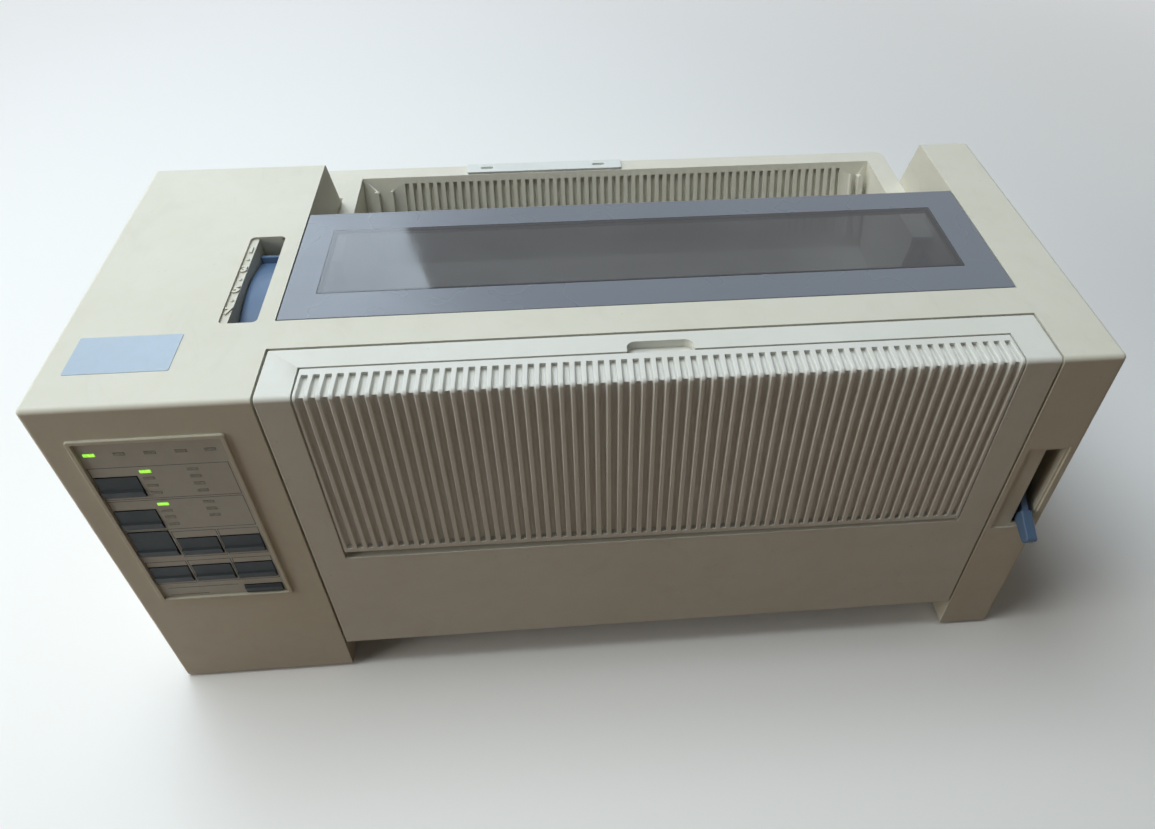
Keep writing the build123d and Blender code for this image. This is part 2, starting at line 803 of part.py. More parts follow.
# ================================================================ sheet guide
groove_first_x = (flap_left + flap_right) / 2 - groove_pitch * (groove_count - 1) / 2
with BuildPart() as grooves:
    for number in range(groove_count):
        x = groove_first_x + groove_pitch * number
        lift = flap_sag * (flap_right - x) / (flap_right - flap_left)
        start_h = flap_bottom_h + lift + groove_end
        with BuildLine(side_plane(x)) as groove_path:
            FilletPolyline((0, start_h), (0, case_h), (groove_top_d, case_h), radius=flap_corner_r)
        with BuildSketch(level_plane(start_h)):
            with BuildLine():
                Polyline(
                    (x - groove_mouth_w / 2 - 0.2, -1), (x + groove_mouth_w / 2 + 0.2, -1),
                    (x + groove_mouth_w / 2, 0), (x + groove_floor_w / 2, groove_t),
                    (x - groove_floor_w / 2, groove_t), (x - groove_mouth_w / 2, 0), close=True,
                )
            make_face()
        sweep(path=groove_path.wire())
with BuildPart() as sheet_guide:
    slab(flap_left, flap_right, [
        (0, flap_bottom_h), (flap_t, flap_bottom_h), (flap_t, case_h - flap_t),
        (flap_top_d, case_h - flap_t), (flap_top_d, case_h), (0, case_h),
    ])
    along = sheet_guide.edges().filter_by(Axis.X)
    fillet(along.filter_by(lambda e: e.center().Z > z_at(case_h) - 1 and e.center().Y < front_y + 1),
           flap_corner_r)
    # The lower edge climbs towards the left, as a flap that sits askew does.
    with BuildSketch(face_plane(-1)):
        with BuildLine():
            Polyline(
                (flap_left - 1, flap_bottom_h - 1), (flap_right + 1, flap_bottom_h - 1),
                (flap_right + 1, flap_bottom_h), (flap_left - 1, flap_bottom_h + flap_sag), close=True,
            )
        make_face()
    extrude(amount=-flap_t - 2, mode=Mode.SUBTRACT)
    low_edges = sheet_guide.edges().filter_by(lambda e: e.length > case_w / 2).group_by(Axis.Z)[0]
    fillet(low_edges, flap_low_r)
    add(grooves.part, mode=Mode.SUBTRACT)
    bar(flap_left - flap_gap - pocket_wall, flap_left + flap_pin_inset, flap_pin_d, flap_pin_h, flap_pin_r)
    bar(flap_right - flap_pin_inset, flap_right + flap_gap + pocket_wall, flap_pin_d, flap_pin_h, flap_pin_r)
finish(sheet_guide, "sheet_guide")

# ================================================================ access lid
with BuildPart() as access_lid:
    block(lid_left, lid_right, lid_front_d, lid_rear_d, lid_bottom_h, case_h)
    block(lid_left + lid_rim, lid_right - lid_rim, lid_front_d + lid_rim, lid_rear_d - lid_rim,
          lid_bottom_h - 1, case_h - lid_t, Mode.SUBTRACT)
    rear_top = access_lid.edges().filter_by(Axis.X).group_by(Axis.Z)[-1].sort_by(Axis.Y)[-1]
    chamfer(rear_top, lid_bevel_h, lid_bevel)
    block(pane_left, pane_right, pane_front_d, pane_rear_d, case_h - pane_t, case_h + 1, Mode.SUBTRACT)
    block(pane_left + pane_lip, pane_right - pane_lip, pane_front_d + pane_lip, pane_rear_d - pane_lip,
          case_h - lid_t - 1, case_h, Mode.SUBTRACT)
    bar(lid_left - lid_gap - wall + lid_pin_short, lid_left + lid_rim, lid_pin_d, lid_pin_h, lid_pin_r)
    bar(lid_right - lid_rim, lid_right + lid_gap + wall - lid_pin_short,
        lid_pin_d, lid_pin_h, lid_pin_r)
finish(access_lid, "access_lid")

with BuildPart() as lid_window:
    block(pane_left + running, pane_right - running, pane_front_d + running, pane_rear_d - running,
          case_h - pane_t, case_h)
finish(lid_window, "lid_window")

# ================================================================ rear guide
lean = math.radians(well_lean)
well_turn_d = well_rear_d - (guide_h - well_turn_h) * math.tan(lean)
guide_left = bay_left + fit
guide_right = bay_right - fit
well_plane = Plane(
    origin=(0, y_at(well_rear_d), z_at(guide_h)),
    x_dir=(1, 0, 0),
    z_dir=(0, -math.cos(lean), math.sin(lean)),
)
with BuildPart() as rear_guide:
    block(guide_left, guide_right, well_front_d, case_d, lean_end_h + fit, guide_h)
    fillet(rear_guide.edges().filter_by(Axis.Z).group_by(Axis.Y)[-1].sort_by(Axis.X)[-1], guide_corner_r)
    # A wing behind the left tower, lying along the tower's leaning back.
    for x0, depth, back_d, top_h, lift, mode in (
        (guide_wing_left, guide_wing_d, case_d, guide_h, guide_gap, Mode.ADD),
        (guide_wing_left + wall, guide_wing_d + wall, case_d - wall, guide_h - wall, 3 * wall,
         Mode.SUBTRACT),
    ):
        slab(x0, guide_left + wall + 1, [
            (depth, top_h), (back_d, top_h), (back_d, lean_height(back_d) + lift),
            (depth, min(lean_height(depth) + lift, top_h - 0.5)),
        ], mode)
    block(guide_left - 1, guide_right + 1, well_front_d - 1, guide_side_d,
          lean_end_h, guide_h - wall, Mode.SUBTRACT)
    block(guide_left + wall, guide_right - wall, guide_side_d - 1, case_d - wall,
          lean_end_h, guide_h - wall, Mode.SUBTRACT)
    block(well_left, well_right, well_front_d - 1, well_rear_d, guide_h - wall - 1, guide_h + 1,
          Mode.SUBTRACT)
    with BuildSketch(side_plane(well_left - well_side_t)):
        with BuildLine():
            Polyline(
                (well_rear_d, guide_h), (well_turn_d, well_turn_h), (well_floor_d, well_floor_h),
                (well_floor_d, well_floor_h - well_floor_t),
                (well_turn_d + well_lap, well_turn_h - well_floor_t), (well_rear_d + well_wall_t, guide_h),
                close=True,
            )
        make_face()
    extrude(amount=well_right - well_left + 2 * well_side_t)
    for x0 in (well_left - well_side_t, well_right):
        slab(x0, x0 + well_side_t, [
            (well_front_d, guide_h), (well_rear_d + well_lap / 2, guide_h),
            (well_turn_d + well_lap / 2, well_turn_h - 1), (well_floor_d, well_floor_h - 1),
            (well_floor_d - well_lap, well_cheek_h), (well_front_d, well_cheek_top_h),
        ])
    with BuildSketch(well_plane):
        with Locations((rib_first_x + rib_pitch * (rib_count - 1) / 2, -rib_top_margin - rib_gap_l / 2)):
            with GridLocations(rib_pitch, 0, rib_count, 1):
                Rectangle(rib_gap_w, rib_gap_l)
    extrude(amount=-rib_gap_t, mode=Mode.SUBTRACT)
    with BuildSketch(well_plane):
        with Locations(*[(x, -peg_margin - peg_l / 2) for x in peg_places]):
            RectangleRounded(peg_w, peg_l, peg_w / 2 - 0.1)
    extrude(amount=peg_t)
    with BuildSketch(well_plane):
        with Locations(*[(x, -peg_margin - peg_l / 2) for x in fin_places]):
            Rectangle(fin_w, peg_l)
    extrude(amount=fin_t)
finish(rear_guide, "rear_guide")

with BuildPart() as rear_slot_plate:
    block(plate_left, plate_right, plate_front_d, plate_rear_d, guide_h, guide_h + plate_t)
    fillet(rear_slot_plate.edges().filter_by(Axis.Z), plate_corner_r)
    with BuildSketch(level_plane(guide_h)):
        with Locations(*[(x, (plate_front_d + plate_rear_d) / 2) for x in plate_slot_places]):
            SlotOverall(plate_slot_l, plate_slot_w)
    extrude(amount=plate_t, mode=Mode.SUBTRACT)
finish(rear_slot_plate, "rear_slot_plate")

# ================================================================ control panel
panel_posts = [
    (panel_left + post_inset, panel_top_h - post_inset),
    (panel_right - post_inset, panel_top_h - post_inset),
    (panel_left + post_inset, panel_bottom_h + post_rise),
    ((column_1 + column_3) / 2 - post_inset / 2, panel_bottom_h + post_rise),
]
overlay_back_d = overlay_front_d + overlay_t
panel_board_d = panel_back_d + key_length + key_travel
with BuildPart() as panel_bezel:
    block(panel_left, panel_right, -panel_proud, 0, panel_bottom_h, panel_top_h)
    fillet(panel_bezel.edges().filter_by(Axis.Y), panel_corner_r)
    fillet(panel_bezel.edges().group_by(Axis.Y)[0], panel_proud / 2)
    inset = panel_lip + fit
    block(panel_left + inset, panel_right - inset, 0, panel_back_d,
          panel_bottom_h + inset, panel_top_h - inset)
    block(panel_left + panel_rim, panel_right - panel_rim, -panel_proud - 1, overlay_back_d,
          panel_bottom_h + panel_rim, panel_top_h - panel_rim, Mode.SUBTRACT)
    for x, height, face in keys:
        half_w = key_w / 2 + key_gap
        half_h = face / 2 + key_gap
        block(x - half_w, x + half_w, 0, panel_back_d + 1, height - half_h, height + half_h, Mode.SUBTRACT)
    for x, height in lens_places:
        half_w = lens_w / 2 + running
        half_h = lens_h / 2 + running
        block(x - half_w, x + half_w, 0, panel_back_d + 1, height - half_h, height + half_h, Mode.SUBTRACT)
    for x, height in panel_posts:
        with Locations((x, y_at((panel_back_d + panel_board_d) / 2), z_at(height))):
            Cylinder(panel_post_r, panel_board_d - panel_back_d, rotation=(90, 0, 0))
finish(panel_bezel, "panel_bezel")

with BuildPart() as panel_overlay:
    inset = panel_rim + running
    block(panel_left + inset, panel_right - inset, overlay_front_d, overlay_back_d,
          panel_bottom_h + inset, panel_top_h - inset)
    for x, height, face in keys:
        half_w = key_w / 2 + key_gap
        half_h = face / 2 + key_gap
        block(x - half_w, x + half_w, 0, 1, height - half_h, height + half_h, Mode.SUBTRACT)
    for x, height in lens_places:
        half_w = lens_w / 2 + running
        half_h = lens_h / 2 + running
        block(x - half_w, x + half_w, 0, 1, height - half_h, height + half_h, Mode.SUBTRACT)
finish(panel_overlay, "panel_overlay")

with BuildPart() as panel_board:
    block(panel_left + inset, panel_right - inset, panel_board_d, panel_board_d + board_t,
          panel_bottom_h + inset, panel_top_h - inset)
finish(panel_board, "panel_board")

for places, lens_name in ((unlit_places, "indicator_lenses"), (lit_places, "indicator_lenses_lit")):
    with BuildPart() as lenses:
        for x, height in places:
            block(x - lens_w / 2, x + lens_w / 2, overlay_front_d - lens_proud, panel_back_d,
                  height - lens_h / 2, height + lens_h / 2)
    finish(lenses, lens_name)

for number, (x, height, face) in enumerate(keys, start=1):
    top = height + face / 2
    bottom = height - face / 2
    flange_d = panel_back_d + key_flange_clear
    face_d = overlay_front_d - key_proud
    with BuildPart() as key:
        slab(x - key_w / 2, x + key_w / 2, [
            (face_d + key_sunk, top), (face_d + key_sunk, bottom + key_lip_h),
            (face_d, bottom + key_lip_h - key_ridge_fade), (face_d + key_ridge_fall, bottom),
            (panel_back_d + key_length - key_travel, bottom), (panel_back_d + key_length - key_travel, top),
        ])
        fillet(key.edges().filter_by(Axis.Y), key_side_r)
        block(x - key_w / 2 - key_flange, x + key_w / 2 + key_flange, flange_d, flange_d + key_flange_t,
              bottom - key_flange, top + key_flange)
    finish(key, f"panel_key_{number}")

# ================================================================ side frames
for name, inner_x, outward, tab_x in (
    ("side_frame_left", frame_left_x, -1, tab_places[0][0]),
    ("side_frame_right", frame_right_x, 1, tab_places[2][0]),
):
    x0 = min(inner_x, inner_x + outward * frame_t)
    x1 = x0 + frame_t
    with BuildPart() as side_frame:
        slab(x0, x1, frame_outline)
        for depth in tab_depths:
            block(tab_x - tab_l / 2, tab_x + tab_l / 2, depth - tab_w / 2, depth + tab_w / 2,
                  wall, wall + frame_t)
            post(tab_x, depth, wall - 1, wall + frame_t + 1, screw_r + running, Mode.SUBTRACT)
        if outward < 0:
            block(x1, drive_pulley_x + bracket_w / 2, belt_d - bracket_w / 2, belt_d + bracket_w / 2,
                  bracket_h, bracket_h + bracket_t)
            post(drive_pulley_x, belt_d, bracket_h - 1, bracket_h + bracket_t + 1,
                 motor_shaft_r + pass_clear, Mode.SUBTRACT)
        else:
            block(idler_pulley_x - idler_bracket_w / 2, x0, belt_d - idler_bracket_w / 2,
                  belt_d + idler_bracket_w / 2, bracket_h, bracket_h + bracket_t)
            bar(x0 - 1, x1 + 1, *axis_pinion, motor_shaft_r + pass_clear, Mode.SUBTRACT)
        bar(x0 - 1, x1 + 1, *axis_platen, bush_r + running, Mode.SUBTRACT)
        bar(x0 - 1, x1 + 1, *axis_tractor, journal_r + running, Mode.SUBTRACT)
        bar(x0 - 1, x1 + 1, axis_tractor[0], axis_tractor[1] + support_rod_rise,
            support_rod_r + running, Mode.SUBTRACT)
        bar(x0 - 1, x1 + 1, rod_d, rod_h, rod_r + running, Mode.SUBTRACT)
    finish(side_frame, name)

frame_left_outer = frame_left_x - frame_t
frame_right_outer = frame_right_x + frame_t

with BuildPart() as carriage_guide_rod:
    bar(frame_left_outer, frame_right_outer, rod_d, rod_h, rod_r)
finish(carriage_guide_rod, "carriage_guide_rod")

with BuildPart() as carriage_front_rail:
    block(frame_left_x, frame_right_x, rail_d - rail_w / 2, rail_d + rail_w / 2,
          rail_h - rail_w / 2, rail_h + rail_w / 2)
finish(carriage_front_rail, "carriage_front_rail")

with BuildPart() as tractor_support_rod:
    bar(frame_left_outer, frame_right_outer, axis_tractor[0], axis_tractor[1] + support_rod_rise,
        support_rod_r)
finish(tractor_support_rod, "tractor_support_rod")

# ================================================================ studs that carry gears and levers
with BuildPart() as gear_studs:
    for depth, height in (axis_train_1, axis_train_2, axis_idler):
        bar(frame_right_outer, gear_x0 - fit, depth, height, stud_head_r)
        bar(frame_right_outer, gear_x1 + fit, depth, height, stud_r)
        bar(gear_x1 + fit, gear_x1 + fit + stud_head_t, depth, height, stud_head_r)
    bar(frame_right_outer, select_right + fit + stud_head_t, select_pivot_d, select_pivot_h, lever_pin_r)
    bar(slot_left + ledge_w - thick_pin_root, frame_left_outer, thick_pivot_d, thick_pivot_h, lever_pin_r)
    pulley_bottom_h = belt_h - pulley_l / 2 - pulley_flange_t
    pulley_top_h = belt_h + pulley_l / 2 + pulley_flange_t
    post(idler_pulley_x, belt_d, bracket_h + bracket_t, pulley_bottom_h - fit, stud_head_r)
    post(idler_pulley_x, belt_d, bracket_h + bracket_t, pulley_top_h + fit, stud_r)
    post(idler_pulley_x, belt_d, pulley_top_h + fit, pulley_top_h + fit + stud_head_t, stud_head_r)
finish(gear_studs, "gear_studs")

# ================================================================ platen
with BuildPart() as platen_bushes:
    bar(frame_left_outer, frame_left_x, *axis_platen, bush_r)
    bar(frame_left_x, frame_left_x + bush_flange_t, *axis_platen, bush_flange_r)
    bar(frame_right_x, frame_right_outer, *axis_platen, bush_r)
    bar(frame_right_x - bush_flange_t, frame_right_x, *axis_platen, bush_flange_r)
    bar(frame_left_outer - 1, frame_right_outer + 1, *axis_platen, shaft_r + running, Mode.SUBTRACT)
finish(platen_bushes, "platen_bushes")

knob_x0 = case_w / 2 + knob_gap
knob_x1 = knob_x0 + knob_l
with BuildPart() as platen_shaft:
    bar(frame_left_outer - shaft_end, knob_x1 - knob_cap_t, *axis_platen, shaft_r)
finish(platen_shaft, "platen_shaft")

with BuildPart() as platen_roller:
    bar(bay_left + platen_end_gap, bay_right - platen_end_gap, *axis_platen, platen_r)
    chamfer(platen_roller.edges().filter_by(GeomType.CIRCLE), platen_bevel)
    bar(bay_left, bay_right, *axis_platen, shaft_r + running, Mode.SUBTRACT)
finish(platen_roller, "platen_roller")

with BuildPart() as platen_knob:
    bar(knob_x0, knob_x1, *axis_platen, knob_r)
    fillet(platen_knob.edges().filter_by(GeomType.CIRCLE).sort_by(Axis.X)[-1], knob_corner_r)
    for flute in range(knob_flutes):
        depth, height = polar(*axis_platen, knob_r + knob_flute_r / 3, 360 * flute / knob_flutes)
        bar(knob_x0 - 1, knob_x1 + 1, depth, height, knob_flute_r, Mode.SUBTRACT)
    bar(knob_x0 - 1, knob_x1 - knob_cap_t, *axis_platen, shaft_r + running, Mode.SUBTRACT)
finish(platen_knob, "platen_knob")


def gear(teeth, axis, tooth_angle, bore_r):
    """Spur gear in the train's plane, with a bore, joined to the part being built."""
    slab(gear_x0, gear_x1, gear_outline(teeth, axis, tooth_angle))
    bar(gear_x0 - 1, gear_x1 + 1, *axis, bore_r, Mode.SUBTRACT)


with BuildPart() as platen_gear:
    gear(platen_teeth, axis_platen, angle_platen, shaft_r + running)
finish(platen_gear, "platen_gear")

with BuildPart() as train_gear_upper:
    gear(train_teeth, axis_train_1, angle_train_1, stud_r + running)
finish(train_gear_upper, "train_gear_upper")

with BuildPart() as train_gear_lower:
    gear(train_teeth, axis_train_2, angle_train_2, stud_r + running)
finish(train_gear_lower, "train_gear_lower")

with BuildPart() as feed_idler_gear:
    gear(feed_idler_teeth, axis_idler, angle_idler, stud_r + running)
finish(feed_idler_gear, "feed_idler_gear")

with BuildPart() as feed_motor_pinion:
    slab(gear_x0, gear_x1, gear_outline(pinion_teeth, axis_pinion, angle_pinion))
    bar(frame_right_x - motor_l / 2, gear_x1 + 1, *axis_pinion, motor_shaft_r)
finish(feed_motor_pinion, "feed_motor_pinion")

# ================================================================ tractors
with BuildPart() as tractor_drive_shaft:
    slab(gear_x0, gear_x1, gear_outline(tractor_teeth, axis_tractor, angle_tractor))
    bar(frame_left_outer - 1, gear_x1 + 1, *axis_tractor, journal_r)
    half = square_shaft_w / 2
    block(frame_left_x + 1, frame_right_x - 1, axis_tractor[0] - half, axis_tractor[0] + half,
          axis_tractor[1] - half, axis_tractor[1] + half)
finish(tractor_drive_shaft, "tractor_drive_shaft")

for side, name, middle_x in (
    (-1, "tractor_left", tractor_places[0]),
    (1, "tractor_right", tractor_places[1]),
):
    near_x = middle_x + side * tractor_w / 2
    far_x = middle_x - side * tractor_w / 2
    hinge_x = near_x + side * (knuckle_r + knuckle_gap)
    hinge_d = tractor_front_d - door_gap - door_t / 2
    ear_end_x = hinge_x + side * knuckle_r
    door_bottom_h = tractor_bottom_h + door_margin
    door_top_h = tractor_top_h - door_margin
    ears = ((door_bottom_h - fit - ear_t, door_bottom_h - fit), (door_top_h + fit, door_top_h + fit + ear_t))
    pin_count = int((door_top_h - door_bottom_h - 2 * door_margin) // pin_pitch) + 1
    with BuildPart() as tractor:
        block(min(near_x, far_x), max(near_x, far_x), tractor_front_d, tractor_rear_d,
              tractor_bottom_h, tractor_top_h)
        fillet(tractor.edges().filter_by(Axis.X).group_by(Axis.Y)[-1], tractor_corner_r)
        for h0, h1 in ears:
            block(min(near_x, ear_end_x), max(near_x, ear_end_x), hinge_d - knuckle_r,
                  tractor_front_d + ear_w, h0, h1)
            post(hinge_x, hinge_d, h0 - 1, h1 + 1, door_pin_r + running, Mode.SUBTRACT)
        for number in range(pin_count):
            height = (door_bottom_h + door_top_h) / 2 + (number - (pin_count - 1) / 2) * pin_pitch
            with Locations((middle_x, y_at(tractor_front_d - pin_l / 2), z_at(height))):
                Cylinder(pin_r, pin_l, rotation=(90, 0, 0))
        bar(middle_x - tractor_w, middle_x + tractor_w, *axis_tractor, tractor_bore_r, Mode.SUBTRACT)
        bar(middle_x - tractor_w, middle_x + tractor_w, axis_tractor[0],
            axis_tractor[1] + support_rod_rise, support_rod_r + running, Mode.SUBTRACT)
    finish(tractor, name)
    with BuildPart() as door:
        block(min(far_x, hinge_x), max(far_x, hinge_x), tractor_front_d - door_gap - door_t,
              tractor_front_d - door_gap, door_bottom_h, door_top_h)
        block(middle_x - door_slot_w / 2, middle_x + door_slot_w / 2,
              tractor_front_d - door_gap - door_t - 1, tractor_front_d,
              door_bottom_h + door_margin / 2, door_top_h - door_margin / 2, Mode.SUBTRACT)
        post(hinge_x, hinge_d, door_bottom_h, door_top_h, knuckle_r)
        post(hinge_x, hinge_d, ears[0][0], ears[1][1], door_pin_r)
    finish(door, f"{name}_door")

# ================================================================ carriage, head and belt drive
rail_half = rail_w / 2 + fit
belt_inner_r = pulley_r + fit
belt_outer_r = belt_inner_r + belt_t
with BuildPart() as carriage:
    block(mid_x - carriage_w / 2, mid_x + carriage_w / 2, carriage_front_d, carriage_rear_d,
          carriage_bottom_h, carriage_top_h)
    fillet(carriage.edges().filter_by(Axis.Z), carriage_corner_r)
    bar(mid_x - carriage_w, mid_x + carriage_w, rod_d, rod_h, rod_r + running, Mode.SUBTRACT)
    block(mid_x - carriage_w, mid_x + carriage_w, rail_d - rail_half, rail_d + rail_half,
          rail_h - rail_half, rail_h + rail_half, Mode.SUBTRACT)
    # Two tabs hold the belt's front run between them.
    for d0 in (belt_d - belt_outer_r - fit - clamp_t, belt_d - belt_inner_r + fit):
        block(mid_x - clamp_w / 2, mid_x + clamp_w / 2, d0, d0 + clamp_t,
              belt_h - belt_w / 2, carriage_bottom_h)
finish(carriage, "carriage")

with BuildPart() as print_head:
    block(mid_x - head_w / 2, mid_x + head_w / 2, head_front_d, head_rear_d, head_bottom_h, head_top_h)
    fin_gap = (head_w - head_fins * head_fin_t) / (head_fins - 1)
    for number in range(head_fins - 1):
        x0 = mid_x - head_w / 2 + head_fin_t + number * (fin_gap + head_fin_t)
        block(x0, x0 + fin_gap, head_front_d - 1, head_rear_d - head_back_t,
              head_bottom_h + head_base_h, head_top_h + 1, Mode.SUBTRACT)
    block(mid_x - nose_w / 2, mid_x + nose_w / 2, head_rear_d, platen_d - platen_r - nose_gap,
          platen_h - nose_h / 2, platen_h + nose_h / 2)
finish(print_head, "print_head")

with BuildPart() as timing_belt:
    with BuildSketch(level_plane(belt_h - belt_w / 2)):
        with Locations(((drive_pulley_x + idler_pulley_x) / 2, belt_d)):
            SlotCenterToCenter(idler_pulley_x - drive_pulley_x, 2 * belt_outer_r)
            SlotCenterToCenter(idler_pulley_x - drive_pulley_x, 2 * belt_inner_r, mode=Mode.SUBTRACT)
    extrude(amount=belt_w)
finish(timing_belt, "timing_belt")


def pulley(x):
    """Flanged belt pulley on an upright axis, joined to the part being built."""
    post(x, belt_d, belt_h - pulley_l / 2, belt_h + pulley_l / 2, pulley_r)
    for h0 in (belt_h - pulley_l / 2 - pulley_flange_t, belt_h + pulley_l / 2):
        post(x, belt_d, h0, h0 + pulley_flange_t, pulley_flange_r)


with BuildPart() as belt_drive_pulley:
    pulley(drive_pulley_x)
    post(drive_pulley_x, belt_d, bracket_h - motor_l / 2, belt_h, motor_shaft_r)
finish(belt_drive_pulley, "belt_drive_pulley")

with BuildPart() as belt_idler_pulley:
    pulley(idler_pulley_x)
    post(idler_pulley_x, belt_d, belt_h - pulley_l, belt_h + pulley_l, stud_r + running, Mode.SUBTRACT)
finish(belt_idler_pulley, "belt_idler_pulley")

with BuildPart() as stepper_motors:
    half = motor_flange_w / 2
    post(drive_pulley_x, belt_d, bracket_h - motor_l, bracket_h - motor_flange_t, motor_r)
    block(drive_pulley_x - half, drive_pulley_x + half, belt_d - half, belt_d + half,
          bracket_h - motor_flange_t, bracket_h)
    post(drive_pulley_x, belt_d, bracket_h - motor_l / 2, bracket_h + 1, motor_shaft_r + running,
         Mode.SUBTRACT)
    bar(frame_right_x - motor_l, frame_right_x - motor_flange_t, *axis_pinion, motor_r)
    block(frame_right_x - motor_flange_t, frame_right_x, axis_pinion[0] - half, axis_pinion[0] + half,
          axis_pinion[1] - half, axis_pinion[1] + half)
    bar(frame_right_x - motor_l / 2, frame_right_x + 1, *axis_pinion, motor_shaft_r + running,
        Mode.SUBTRACT)
finish(stepper_motors, "stepper_motors")

# ================================================================ paper chute and ribbon cartridge
with BuildPart() as paper_chute:
    with BuildSketch(side_plane(frame_left_x)):
        with BuildLine() as chute_line:
            FilletPolyline(*chute_points, radius=chute_turn_r)
        trace(line_width=chute_t)
    extrude(amount=frame_right_x - frame_left_x)
    for x0, x1, width in (
        (frame_left_x - 1, drive_pulley_x + bracket_w / 2 + chute_notch, bracket_w),
        (idler_pulley_x - idler_bracket_w / 2 - chute_notch, frame_right_x + 1, idler_bracket_w),
    ):
        block(x0, x1, belt_d - width / 2 - chute_notch, belt_d + width / 2 + chute_notch,
              bracket_h - motor_l, bracket_h + motor_l, Mode.SUBTRACT)
finish(paper_chute, "paper_chute")

arm_end_d = platen_d - platen_r - ribbon_gap - ribbon_t
with BuildPart() as ribbon_cartridge:
    block(frame_left_x + fit, frame_right_x - fit, cartridge_front_d, cartridge_rear_d,
          cartridge_bottom_h, cartridge_top_h)
    fillet(ribbon_cartridge.edges().group_by(Axis.Z)[-1], cartridge_corner_r)
    for x0 in (bay_left + arm_inset, bay_right - arm_inset - cartridge_arm_w):
        block(x0, x0 + cartridge_arm_w, cartridge_rear_d - arm_lap, arm_end_d,
              cartridge_arm_bottom_h, cartridge_arm_top_h)
    block(bay_left + arm_inset, bay_right - arm_inset, arm_end_d, arm_end_d + ribbon_t,
          platen_h - ribbon_w / 2, platen_h + ribbon_w / 2)
finish(ribbon_cartridge, "ribbon_cartridge")

# ================================================================ levers
with BuildPart() as thickness_lever:
    rim_x0 = slot_left + ledge_w + thick_rim_clear
    rim_x1 = slot_right - thick_rim_clear
    pivot = (thick_pivot_d, thick_pivot_h)
    wedge = [
        pivot,
        polar(*pivot, 2 * thick_rim_r, 90 - thick_front_angle),
        polar(*pivot, 2 * thick_rim_r, 90 - thick_rear_angle),
    ]
    for x0, inner_r in ((rim_x0, thick_rim_r - thick_rim_t), (rim_x1 - thick_arm_t, 0)):
        with BuildSketch(side_plane(x0)):
            with Locations(pivot):
                Circle(thick_rim_r)
                if inner_r:
                    Circle(inner_r, mode=Mode.SUBTRACT)
            with BuildLine():
                Polyline(*wedge, close=True)
            make_face(mode=Mode.INTERSECT)
        extrude(amount=rim_x1 - x0)
    with BuildSketch(side_plane(rim_x0)):
        with Locations(polar(*pivot, thick_rim_r + thick_bar_h / 2 - thick_bar_sunk, 90 - thick_bar_angle)):
            RectangleRounded(thick_bar_w, thick_bar_h + 2 * thick_bar_sunk, thick_bar_r,
                             rotation=-thick_bar_angle)
    extrude(amount=rim_x1 - rim_x0)
    hub_x1 = frame_left_outer - fit
    bar(hub_x1 - thick_hub_l, hub_x1, *pivot, thick_hub_r)
    bar(hub_x1 - thick_hub_l - 1, hub_x1 + 1, *pivot, lever_pin_r + running, Mode.SUBTRACT)
finish(thickness_lever, "thickness_lever")


def beside(pivot, angle, reach, offset):
    """Point at a reach from a pivot along an angle, moved sideways by an offset."""
    along = polar(*pivot, reach, angle)
    return polar(*along, offset, angle + 90)


with BuildPart() as select_lever:
    pivot = (select_pivot_d, select_pivot_h)
    angle = 180 + select_angle
    slab(select_left, select_right, [
        beside(pivot, angle, select_tab_reach, select_tab_root),
        beside(pivot, angle, select_reach, select_tab_tip),
        beside(pivot, angle, select_reach, -select_tab_top),
        beside(pivot, angle, select_tab_reach, -select_tab_top),
    ])
    fillet(select_lever.edges().filter_by(Axis.X).sort_by(Axis.Y)[:2], select_tip_r)
    fillet(select_lever.faces().sort_by(Axis.Y)[0].edges(), select_edge_r)
    slab(select_stem_left, select_stem_right, [
        beside(pivot, angle, 0, select_stem_w / 2),
        beside(pivot, angle, select_tab_reach + 1, select_stem_w / 2),
        beside(pivot, angle, select_tab_reach + 1, 1 - select_tab_top),
        beside(pivot, angle, 0, 1 - select_tab_top),
    ])
    bar(select_left, select_right, *pivot, select_hub_r)
    bar(select_left - 1, select_right + 1, *pivot, lever_pin_r + running, Mode.SUBTRACT)
finish(select_lever, "select_lever")

# ================================================================ electronics
with BuildPart() as main_board:
    block(board_left, board_right, board_front_d, board_rear_d, board_h, board_h + board_t)
    top_h = board_h + board_t
    for number in range(chip_count):
        x0 = board_left + chip_margin + chip_pitch * number
        for depth, length in chip_rows:
            d0 = board_front_d + depth
            block(x0, x0 + chip_w, d0, d0 + length, top_h - board_t / 2, top_h + chip_h)
    for depth in can_depths:
        post(board_right - can_inset, board_front_d + depth, top_h - board_t / 2, top_h + can_h, can_r)
finish(main_board, "main_board")

with BuildPart() as power_supply:
    block(supply_left, supply_right, supply_front_d, supply_rear_d, wall, wall + board_t)
    x0 = supply_left + supply_margin
    d1 = supply_rear_d - supply_margin
    block(x0, x0 + transformer_w, d1 - transformer_l, d1, wall, wall + transformer_h)
    d0 = supply_front_d + supply_margin
    block(x0, x0 + sink_t, d0, d0 + sink_l, wall, wall + sink_h)
    post(supply_right - supply_can_inset[0], supply_front_d + supply_can_inset[1],
         wall, wall + supply_can_h, supply_can_r)
finish(power_supply, "power_supply")

